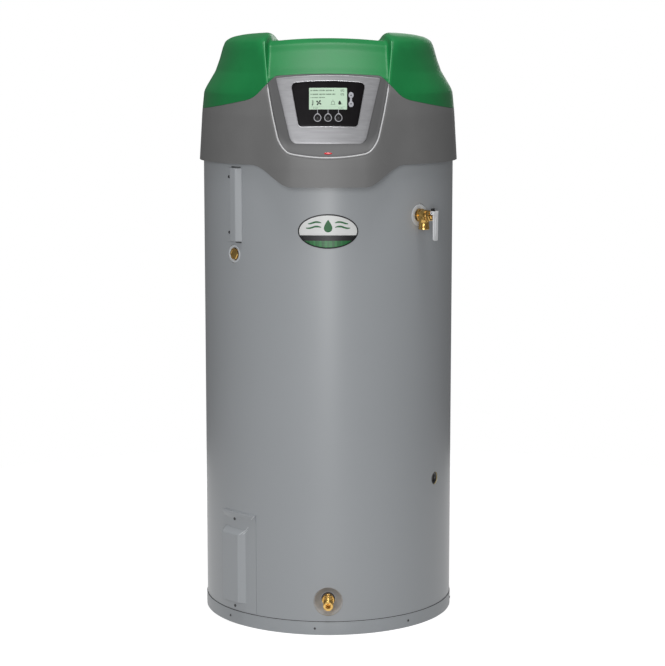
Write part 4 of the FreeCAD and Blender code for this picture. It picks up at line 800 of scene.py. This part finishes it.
for name, x in KEYS.items():
    key("button_" + name, (x, KEY_Y), 7.8, 7.8, "key_black")
    inked(f"button_mark_{name}", [ellipse(1.7, 1.7, (x, KEY_Y), 20)], "ring_dark", 3.72, 3.4, name + "_key",
          "key_black")
for name, (y, tip) in ARROWS.items():
    key("button_" + name, (ARROW_X, y), 6.9, 8.2, "key_grey")
    chevron = np.array([(-2.6, -1.6), (0, 2.0), (2.6, -1.6), (1.5, -2.6), (0, -0.6), (-1.5, -2.6)])
    chevron = np.array((ARROW_X, y)) + chevron * (1, tip)
    inked(f"button_mark_{name}", [chevron if tip > 0 else chevron[::-1]], "ink", 3.72, 3.3, name + "_key",
          "key_grey")

# ---------------------------------------------------------------- jacket, base and covers


def cutters(places):
    """Round drills for the openings, as one object: each has a place, a radius and two heights."""
    drills = [lathe([(0.01, low), (radius, low), (radius, high), (0.01, high)], place, 96)
              for place, radius, low, high in places]
    return welded("drills", *together(*drills), 0.05)


RELIEF, DRAIN = fitting(45, 1151), fitting(0, 95)
UPPER_TAP, LOWER_TAP = fitting(-47, 1044), fitting(58, 405.5)
COLD, HOT = fitting(-150, 260), fitting(-150, 1130)
jacket_low, jacket_high = (1000 * corner.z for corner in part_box("outer_jacket"))
SHEET = 1.2
wall = [(JACKET - SHEET, jacket_low), (JACKET - 0.3, jacket_low), (JACKET, jacket_low + 0.5)]
wall += [(JACKET, z) for z in np.linspace(jacket_low + 40, jacket_high, 14)] + [(JACKET - SHEET, jacket_high)]
wall += [(JACKET - SHEET, z) for z in np.linspace(jacket_high - 30, jacket_low + 30, 14)]
jacket = piece("jacket_shell", *lathe(wall + wall[:1], upright(), 256), "jacket_paint", node="outer_jacket")
VENT_X, VENT_Y, FLUE_Z = 175, 430, 240
flue_hole = along((VENT_X, 250, FLUE_Z), (0, 1, 0))
drills = cutters([(DRAIN, 40.3, -20, 30), (RELIEF, 31, -20, 30), (UPPER_TAP, 25.3, -20, 30),
                  (LOWER_TAP, 17.8, -20, 30), (COLD, 24, -20, 30), (HOT, 24, -20, 30),
                  (flue_hole, 51, 0, 200)])
modify(jacket, "BOOLEAN", object=drills, operation="DIFFERENCE", solver="EXACT")
settle(jacket)
bpy.data.objects.remove(drills)
smooth(jacket, 30)

ring_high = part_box("base_ring")[1]
BASE_R, BASE_TOP = 1000 * ring_high.x, 1000 * ring_high.z
ring = [(BASE_R - 2.2, 0), (BASE_R - 0.6, 0), (BASE_R, 0.8), (BASE_R, BASE_TOP - 5),
        (BASE_R - 0.2, BASE_TOP - 3.8), (BASE_R - 0.2, BASE_TOP - 3.0), (BASE_R, BASE_TOP - 2.2),
        (BASE_R, BASE_TOP - 0.8), (BASE_R - 0.8, BASE_TOP), (BASE_R - 2.2, BASE_TOP)]
piece("base_skirt", *lathe(ring + ring[:1], upright(), 256), "base_paint", node="base_ring", angle=30)
piece("base_gap_shadow", *lathe([(BASE_R - 1.6, BASE_TOP - 1), (BASE_R - 0.9, BASE_TOP - 0.2),
                                 (BASE_R - 0.9, BASE_TOP + 1.6), (BASE_R - 2.0, BASE_TOP + 1.6)], upright(),
                                256), "seam_line", slot="black_plastic")


def pressed(name, look, turn, xs, zs, height, node):
    """A pressed sheet on the jacket: a grid with a height out of the paint, folded down at its border."""
    X, Z = np.meshgrid(xs, zs)
    out = height(X, Z)
    out[0, :] = out[-1, :] = out[:, 0] = out[:, -1] = 0.15
    points = wrapped(turn, 0)(np.column_stack([X.ravel(), Z.ravel(), out.ravel()]))
    return piece(name, points, grid_faces(len(zs), len(xs)), look, node=node, angle=35)


def framed(low, high, spacing, inset=0.6):
    """Grid lines between two limits, with a close pair at each end for the folded border."""
    inner = np.linspace(low + inset, high - inset, max(2, int((high - low) / spacing)))
    return np.r_[low, low + 0.05, inner, high - 0.05, high]


CHANNEL_TURN, CHANNEL_LOW, CHANNEL_HIGH = -46, 1078.0, 1281.0
CHANNEL = softened([-45, -13, -9, 12, 27.5, 32], [1.4, 1.4, 12.0, 12.0, 1.2, 1.2], -41, 29, 0.7, 0.25)


def channel_height(x, z):
    """The folded channel's height out of the paint, rounded down at its ends."""
    ends = np.clip(np.minimum(z - CHANNEL_LOW, CHANNEL_HIGH - z) / 2.2, 0, 1)
    return 0.2 + (np.interp(x, *CHANNEL) - 0.2) * np.sqrt(1 - (1 - ends) ** 2)


pressed("channel_sheet", "cover_paint", CHANNEL_TURN, framed(-40, 28, 0.8),
        framed(CHANNEL_LOW, CHANNEL_HIGH, 3.5, 2.4), channel_height, "channel_cover")
# Painted shadow: dark strips laid below and above the channel cover's ends, where shade falls.
shadow_place = wrapped(CHANNEL_TURN, 0)
end_shadows = [plate(bar(5, 25, CHANNEL_LOW - 1, 2.2), 0.2, 3.6, 0.4, shadow_place, 3),
            plate(bar(-12, 25, CHANNEL_HIGH + 1.2, 1.6), 0.2, 2.6, 0.4, shadow_place, 3)]
piece("channel_end_gaps", *together(*end_shadows), "seam_line", slot="black_plastic", angle=50)


def access_height(x, z):
    """A flange with a lip along its top and a raised box whose sides slope."""
    angle = x / JACKET
    out = np.full(x.shape, 8.0)
    for _ in range(4):
        across = (JACKET + out) * np.sin(angle)
        rise = np.minimum.reduce([(across + 58) / 8, (40 - across) / 26, (z - 60) / 8, (288 - z) / 26])
        rise = -soft_max(-rise, np.full(rise.shape, -1.0), 0.10)
        out = (JACKET - 16 + 34 * rise) / np.cos(angle) - JACKET
    lip = 1.4 + 5.2 * np.clip((z - 303) / 13, 0, 1)
    return soft_max(out, lip, 1.2)


ACCESS_TURN, ACCESS_HALF = -45, 64.6
pressed("access_sheet", "cover_paint", ACCESS_TURN, framed(-ACCESS_HALF, ACCESS_HALF, 1.3),
        framed(42, 322, 1.3), access_height, "access_cover")


def painted_glint_line(start, end):
    """A painted highlight: a light rod along a straight fold of the access cover, standing for the glint
    where the fold catches light.
    """
    xs, zs = np.linspace(start[0], end[0], 24), np.linspace(start[1], end[1], 24)
    out = access_height(xs, zs)
    path = wrapped(ACCESS_TURN, 0)(np.column_stack([xs, zs, out]))
    return rod(path, 0.8, 10)


# Painted highlights: glints at the right-hand ends of the lip and of the raised box's top slope.
glint_lines = [painted_glint_line((51, 309.5), (63, 320.5)), painted_glint_line((16.5, 263), (38, 286)),
         painted_glint_line((22.5, 264), (35, 277))]
piece("access_fold_lines", *together(*glint_lines), "edge_light", slot="cover_paint", angle=60)

# ---------------------------------------------------------------- badge

BADGE, BADGE_WIDE, BADGE_TALL = wrapped(0, 1116), 78.0, 43.0
piece("badge_rim", *plate(ellipse(BADGE_WIDE + 3.5, BADGE_TALL + 3.5), 0.2, 1.5, 0.9, BADGE, 10),
      "badge_black", slot="badge", node="badge_plate", angle=50)


def badge_slice(low, high):
    """The part of the badge's oval between two heights."""
    t0, t1 = (math.asin(np.clip(v / BADGE_TALL, -1, 1)) for v in (low, high))
    right = np.linspace(t0, t1, 40)
    turn = np.r_[right, math.pi - right[::-1]]
    outline = np.stack([BADGE_WIDE * np.cos(turn), BADGE_TALL * np.sin(turn)], 1)
    keep = [0] + [k for k in range(1, len(outline)) if np.linalg.norm(outline[k] - outline[k - 1]) > 0.05]
    return divided(outline[keep], 5)


piece("badge_field", *plate(badge_slice(-10.5, BADGE_TALL), 1.2, 1.75, 0.15, BADGE, 8), "badge", angle=50)
piece("badge_band", *plate(badge_slice(-BADGE_TALL, -25), 1.2, 1.75, 0.15, BADGE, 8), "badge_green",
      slot="badge", angle=50)


def ribbon(centre, width, low, high, place):
    """A narrow raised band along an open line."""
    centre = np.asarray(centre, float)
    along_it = np.gradient(centre, axis=0)
    along_it /= np.linalg.norm(along_it, axis=1)[:, None]
    across = np.stack([-along_it[:, 1], along_it[:, 0]], 1)
    share = np.linspace(0, 1, len(centre))
    half = (width / 2 * np.sin(math.pi * share) ** 0.35 + 0.15)[:, None]
    return plate(np.concatenate([centre - across * half, (centre + across * half)[::-1]]), low, high, 0.1,
                 place, 2)


waves = []
for side in (-1, 1):
    for row, (start, end) in enumerate(((18, 60), (18, 54))):
        x = np.linspace(start, end, 24)
        crest = np.column_stack([side * x, 11 + 12 * row + 2.6 * np.sin((x - start) / 7.5)])
        waves.append(ribbon(crest, 4.2, 1.6, 1.92, BADGE))
piece("badge_waves", *together(*waves), "badge_leaf", slot="badge", angle=50)
piece("badge_drop", *plate(drop((0, 15), 19), 1.6, 1.98, 0.12, BADGE, 5), "badge_leaf", slot="badge",
      angle=50)

# ---------------------------------------------------------------- turned and pressed fittings


def hexagon(turn):
    """Radius factor of a hexagon whose corners touch the unit circle."""
    return math.cos(math.pi / 6) / np.cos(turn % (math.pi / 3) - math.pi / 6)


def ring_of(profile):
    """A turned profile that closes on itself."""
    return profile + profile[:1]


def threaded(low, high, radius):
    """Points along a threaded length, close enough for its turns to show."""
    return [(radius, z) for z in np.arange(low, high + 0.25, 0.5)]


def spot(place, x, y, z):
    """A point of a frame as heater coordinates."""
    return tuple(place(np.array([[x, y, z]], float))[0])


def side_on(place):
    """The same frame for outlines drawn over (out, up), with their thickness across."""
    return lambda points: place(np.asarray(points, float)[:, [2, 1, 0]])


def slab(outline, low, high, bevel, place):
    """A closed plate, rounded along the edges of both faces."""
    middle = (low + high) / 2
    front = plate(outline, middle, high, bevel, place, 3)
    back = plate(outline, -middle, -low, bevel, lambda points: place(np.asarray(points) * (1, 1, -1)), 3)
    return together(front, back)


def hollow_sweep(path, outer, inner):
    """A pipe along a path, with a bore and closed rims."""
    count = 56
    outside, _ = sweep(path, outer, count)
    inside, _ = sweep(path, inner, count)
    inside = inside.reshape(-1, count, 3)[::-1].reshape(-1, 3)
    return np.concatenate([outside, inside, outside[:count]]), grid_faces(2 * len(path) + 1, count, True)


def outward(turn):
    """The level direction away from the heater's axis."""
    a = math.radians(turn)
    return np.array((math.sin(a), -math.cos(a), 0))


# A 3/4 in pipe shank: its radius, and how far behind the paint it ends.
SHANK, ROOT = 13.3, -60

# relief valve
barrel = ring_of([(3.2, ROOT), (SHANK, ROOT), (SHANK, -9), (15.2, -9), (15.8, -8), (15.8, 26), (15.2, 28),
                  (13.8, 28.6), (13.8, 31.4), (14.8, 32), (14.8, 33.4), (14.2, 34), (3.2, 34)])
collar = ring_of([(10, -0.5), (18.6, -0.5), (19.4, 0.4), (19.4, 7.2), (18.6, 8), (10, 8)])
branch = ring_of([(12.2, 2), (12.2, 38), (14.2, 38), (15, 37.2), (15, 31), (14.3, 30), (14.3, 16), (15, 15),
                  (15, 2)])
branch_place = along(spot(RELIEF, 0, 0, 16), (0, 0, -1), outward(45))
piece("relief_body", *together(lathe(barrel, RELIEF, 72), lathe(collar, RELIEF, 96, hexagon),
                               lathe(branch, branch_place, 72)), "brass", node="relief_valve_body")
bonnet = ring_of([(3.3, 34.1), (13.6, 34.1), (14.8, 35.0), (14.8, 42.6), (13.4, 44.0), (8.6, 44.0),
                  (8.0, 45.0), (7.6, 47.6), (6.8, 48.4), (3.3, 48.4)])
ear = rounded([(57, 14), (44, 14), (44, 4), (57, 4)], (4.9, 0.5, 0.5, 4.9), 8)
ears = [slab(ear, low, low + 2.6, 0.4, side_on(RELIEF)) for low in (3.6, -6.2)]
piece("relief_cap", *together(lathe(bonnet, RELIEF, 96, hexagon), *ears), "brass", node="relief_valve_bonnet")
stem = [(0.01, 20), (2.95, 20), (2.95, 55), (2.2, 56), (0.01, 56)]
piece("relief_stem_rod", *lathe(stem, RELIEF, 32), "brass", body="relief_stem", node="relief_valve_stem")
pin_place = along(spot(RELIEF, 0, 9, 52), np.cross((0, 0, 1), outward(45)) * -1, (0, 0, 1))
pin = [(0.01, -9.8), (1.5, -9.8), (1.95, -9.3), (1.95, 9.3), (1.5, 9.8), (0.01, 9.8)]
piece("relief_pin", *lathe(pin, pin_place, 32), "screw_steel", node="relief_lever_pin")
cheek = rounded([(60.2, 14), (47.2, 14), (47.2, 4), (60.2, 4)], (0.6, 4.8, 4.8, 0.6), 8)
flank = rounded([(59, 8), (55.2, 3), (56.2, -62), (59, -64)], (0.4, 2.0, 1.0, 0.4), 6)
blade_outline = rounded([(9.5, 14), (-9.5, 14), (-8.2, -66), (8.2, -66)], (2.0, 2.0, 3.4, 3.4), 8, 6)
lever = [slab(blade_outline, 58.0, 60.5, 0.9, RELIEF)]
lever += [plate(bar(-2.4, 2.4, -28, 50), 60.0, 61.1, 0.7, RELIEF, 3)]
lever += [slab(cheek, side * 8.3 - 1.2, side * 8.3 + 1.2, 0.4, side_on(RELIEF)) for side in (-1, 1)]
lever += [slab(flank, side * 7.6 - 0.7, side * 7.6 + 0.7, 0.3, side_on(RELIEF)) for side in (-1, 1)]
piece("relief_lever_blade", *together(*lever), "lever_white", body="relief_lever", node="relief_valve_lever")

clip = rounded([(52, 22.5), (44, 20), (44, 12), (52, 14.5)], 2.2, 6)
piece("relief_clip", *slab(clip, -4.4, 4.4, 1.0, side_on(RELIEF)), "black_plastic")

# drain valve in its dish
spout = ring_of([(6.5, ROOT), (SHANK, ROOT), (SHANK, -21), (16.2, -21), (17, -20.2), (17, -12), (16.2, -11),
                 (9.5, -11), (9.5, 17), (10.4, 18), (12.0, 20), (12.2, 21.2)] + threaded(21.6, 46, 13.5)
                + [(12.2, 46.6), (11.6, 47.6), (7.4, 47.6), (6.5, 46.8)])
boss_place = along(spot(DRAIN, 0, 0, 0), (0, 0, 1), outward(0))
boss = ring_of([(5.1, 6), (9, 6), (9, 13), (8.4, 14), (8.9, 15), (8.9, 16.4), (8.3, 17), (5.1, 17)])
shoulder = ring_of([(4, -9), (12.4, -9), (13.4, -8), (13.4, 3), (12.4, 4), (4, 4)])
piece("drain_body", *together(lathe(spout, DRAIN, 96, thread=(21.6, 46, 2.21, 1.3)),
                              lathe(boss, boss_place, 56), lathe(shoulder, DRAIN, 96, hexagon)),
      "brass", node="drain_valve_body")
half_round = [(4.8 * math.cos(t), 0.9 + 4.0 * math.sin(t)) for t in np.linspace(0.05, math.pi - 0.05, 18)]
halves = [plate(np.array(half_round) * (1, side), 18.4, 21.1, 0.5, boss_place, 3) for side in (-1, 1)]
screw = lathe([(0.01, 7.6), (4.9, 7.6), (4.9, 18.6), (0.01, 18.6)], boss_place, 40)
piece("drain_stem_screw", *together(screw, *halves), "brass", body="drain_stem", node="drain_valve_stem")
dish = ring_of([(19.2, -30), (21, -30), (25, -26.5), (39.6, -4.4), (39.9, -3.4), (39.7, -2.4), (38.9, -2.0),
                (38.1, -2.8), (36.0, -5.6), (24.4, -25), (20.4, -28.6), (19.2, -28.8)])
piece("drain_cone", *lathe(dish, DRAIN, 128), "bright_dish", node="drain_dish", angle=25)

# plugs and dam rings
plug = [(0.01, ROOT), (SHANK, ROOT), (SHANK, -14)]
plug_head = [(0.01, -14), (15.2, -14), (16.5, -12.8), (16.5, 0.2), (15.0, 2.0), (11.6, 2.0), (11.0, 1.2),
             (0.01, 1.2)]
piece("upper_plug", *together(lathe(plug, UPPER_TAP, 48), lathe(plug_head, UPPER_TAP, 96, hexagon)), "brass",
      node="upper_tap_plug")
cap = [(0.01, ROOT), (SHANK, ROOT), (SHANK, -18), (17.6, -18), (17.6, -7.2), (17.3, -4.0), (16.4, -3.0),
       (11.4, -3.0), (10.8, -3.4), (9.4, -7), (0.01, -7)]
piece("lower_plug", *lathe(cap, LOWER_TAP, 64), "black_plastic", node="lower_tap_cap")


def dam(outer, inner, place):
    """The moulded collar that seals an opening in the jacket."""
    return lathe(ring_of([(inner, -9), (outer, -9), (outer, -2.0), (outer - 0.6, -0.9), (outer - 2.0, -0.3),
                          (inner + 2.2, -0.5), (inner + 0.7, -1.2), (inner, -2.6)]), place, 96)


piece("dam_collars", *together(dam(30.7, 17, RELIEF), dam(25.0, 17.4, UPPER_TAP)), "dam_ring",
      node="foam_dam_rings")
for name, place, node in (("cold_nipple", COLD, "cold_inlet_nipple"),
                          ("hot_nipple", HOT, "hot_outlet_nipple")):
    stub = ring_of([(10.4, ROOT), (SHANK, ROOT), (SHANK, -38), (12.9, -38), (12.9, 9)]
                   + threaded(10, 37, SHANK) + [(12.2, 37.6), (11.6, 38), (10.4, 38)])
    piece(name, *lathe(stub, place, 96, thread=(10, 37, 2.21, 1.2)), "galvanised", node=node)

# pipes at the back
gas = along((150, 112, 1385), (0, 1, 0))
pipe = ring_of([(7.9, 0), (10.3, 0), (10.3, 218)] + threaded(219, 252, 10.65)
               + [(9.6, 252.6), (9.2, 253), (7.9, 253)])
piece("gas_pipe", *lathe(pipe, gas, 72, thread=(219, 252, 1.81, 0.9)), "gas_steel", node="gas_inlet_pipe")
gland = ring_of([(5.5, 0), (8.9, 0), (8.9, 16), (12.4, 16), (13, 16.6), (13, 19), (12.2, 21.4), (11.2, 23.4),
                 (10.2, 24), (6.6, 24), (5.5, 23)])
piece("cable_gland", *lathe(gland, along((70, 342.5, 1340), (0, 1, 0)), 64), "black_plastic",
      node="cable_bushing")
BEND, HUB, TUBE, SOCKET_BORE, TUBE_BORE = 46, 50, 46.4, 44.6, 40
knee = [(VENT_X, VENT_Y - BEND + BEND * math.sin(t), FLUE_Z + BEND - BEND * math.cos(t))
        for t in np.linspace(0, math.pi / 2, 25)]
run = [(VENT_X, y, FLUE_Z) for y in (278, 279, 282, 300, 322, 324, 326, 350, 375)]
rise = [(VENT_X, VENT_Y, z) for z in (288, 289.5, 291, 310, 330, 333.5, 335)]
wide = [49.2] + [HUB] * 4 + [49.2] + [TUBE] * (len(knee) + 4) + [49.2] + [HUB] * 4 + [49.2]
bore = [SOCKET_BORE] * 5 + [TUBE_BORE] * (len(knee) + 6) + [SOCKET_BORE] * 4 + [45.2]
piece("exhaust_bend", *hollow_sweep(run + knee + rise, np.array(wide), np.array(bore)), "vent_plastic",
      node="exhaust_elbow", angle=35)
hub = ring_of([(51.2, 0), (52.6, 0.8), (52.6, 6.2), (51.2, 7)])
piece("intake_hub_band", *lathe(hub, along((-75, 384, 1470), (0, 1, 0)), 96), "vent_plastic")
bands = [ring_of([(17.2, z), (18.8, z + 0.7), (18.8, z + 3.3), (17.2, z + 4)]) for z in (113, 120, 172)]
barb = along((VENT_X + 18, VENT_Y, 160), (1, 0, 0))
teeth = [ring_of([(7.0, x), (8.3, x + 0.4), (7.2, x + 5), (7.0, x + 5)]) for x in (9, 15.5, 22)]
piece("trap_bands", *together(*[lathe(band, upright(VENT_X, VENT_Y), 64) for band in bands],
                              *[lathe(tooth, barb, 40) for tooth in teeth]), "vent_plastic")

# screw heads, each a hexagon on a washer, pressed into the sheet


def screw_head(turn, height, out):
    """A hexagon head on a washer."""
    place = fitting(turn, height)
    washer = [(0.01, out - 1.2), (4.1, out - 1.2), (4.4, out - 0.8), (4.4, out), (3.9, out + 0.5),
              (2.9, out + 0.7)]
    head = [(0.01, out), (3.3, out), (3.5, out + 0.2), (3.5, out + 1.6), (2.9, out + 2.1), (1.4, out + 1.9),
            (0.01, out + 1.8)]
    return together(lathe(washer, place, 32), lathe(head, place, 48, hexagon))


ring_out = BASE_R - JACKET
piece("ring_screw_heads", *together(*[screw_head(-6 + 45 * k, 18.5, ring_out - 0.7) for k in range(8)]),
      "screw_steel", node="base_ring_screws")
seats = [(CHANNEL_TURN, -24, 1102, 1.2), (CHANNEL_TURN, -24, 1254, 1.2), (ACCESS_TURN, -16, 51, 1.6),
         (ACCESS_TURN, -16, 301, 1.6)]
heads = [screw_head(turn + math.degrees(x / JACKET), z, out) for turn, x, z, out in seats]
piece("cover_screw_heads", *together(*heads), "screw_steel", node="cover_screws")

# The CAD nodes that stay get smooth shading, and the hard-edged ones a small bevel.
HARD_EDGED = ["air_intake_pipe", "condensate_trap", "gas_valve", "gas_valve_knob", "blower_motor",
              "blower_housing", "gas_air_mixer", "control_box", "burner_flange", "igniter", "flame_sensor",
              "top_pan", "base_pan", "status_light"]
for name, node in nodes.items():
    smooth(node, 30)
    if name in HARD_EDGED:
        modify(node, "BEVEL", width=0.5 * MM, segments=2, limit_method="ANGLE", angle_limit=math.radians(40),
               use_clamp_overlap=True)
        modify(node, "WEIGHTED_NORMAL", keep_sharp=True)

# ---------------------------------------------------------------- floor, light and camera


def area_light(name, place, target, width, height, power):
    """A rectangular soft light that faces a target."""
    data = bpy.data.lights.new(name, "AREA")
    data.shape = "RECTANGLE"
    data.size, data.size_y, data.energy = width, height, power
    obj = in_scene(name, data)
    obj.location = place
    obj.rotation_mode = "QUATERNION"
    obj.rotation_quaternion = (Vector(target) - Vector(place)).to_track_quat("-Z", "Y")


def backdrop():
    """A pale round floor that meets the white surround."""
    mesh = bpy.data.meshes.new("floor")
    reach, count = 2.2, 96
    turns = [2 * math.pi * k / count for k in range(count)]
    rim = [(reach * math.cos(turn), reach * math.sin(turn), 0) for turn in turns]
    mesh.from_pydata(rim, [], [tuple(range(count))])
    floor = in_scene("floor", mesh)
    mat = finish("floor_pale", (0.40, 0.40, 0.40), 0.8, 0.0, 0.004, 2, 30, 0)
    bsdf = mat.node_tree.nodes["Principled BSDF"]
    bsdf.inputs["Specular IOR Level"].default_value = 0.1
    bsdf.inputs["Emission Color"].default_value = (1, 1, 1, 1)
    bsdf.inputs["Emission Strength"].default_value = 0.88
    mesh.materials.append(mat)
    floor.visible_diffuse = False


backdrop()
world = bpy.data.worlds.new("studio")
bpy.context.scene.world = world
world.use_nodes = True
tree = world.node_tree
fill = tree.nodes["Background"]
fill.inputs["Color"].default_value = (1, 1, 1, 1)
fill.inputs["Strength"].default_value = 0.2
seen = tree.nodes.new("ShaderNodeBackground")
seen.inputs["Color"].default_value = (1, 1, 1, 1)
seen.inputs["Strength"].default_value = 1.0
path, mix = tree.nodes.new("ShaderNodeLightPath"), tree.nodes.new("ShaderNodeMixShader")
tree.links.new(path.outputs["Is Camera Ray"], mix.inputs[0])
tree.links.new(fill.outputs[0], mix.inputs[1])
tree.links.new(seen.outputs[0], mix.inputs[2])
tree.links.new(mix.outputs[0], tree.nodes["World Output"].inputs["Surface"])

area_light("key", (-1.0, -5.6, 2.1), (0, 0, 0.9), 2.4, 2.4, 92)
area_light("streak", (0.05, -6.6, 0.85), (0, 0, 1.2), 0.6, 0.9, 70)
area_light("overhead", (0.0, -0.9, 4.2), (0, -0.2, 1.5), 1.6, 0.9, 62)
area_light("rear", (1.2, 5.5, 2.2), (0, 0, 0.9), 2.0, 2.0, 26)

lens_data = bpy.data.cameras.new("camera")
lens_data.sensor_width = 36
lens_data.lens = 108.05
camera = in_scene("camera", lens_data)
camera.location = (0.0118, -5.6835, 1.6257)
pitch_down = 8.368
camera.rotation_euler = (math.radians(90 - pitch_down), 0, 0)
bpy.context.scene.camera = camera
bpy.context.scene.view_settings.view_transform = "Standard"
bpy.context.scene.view_settings.look = "None"
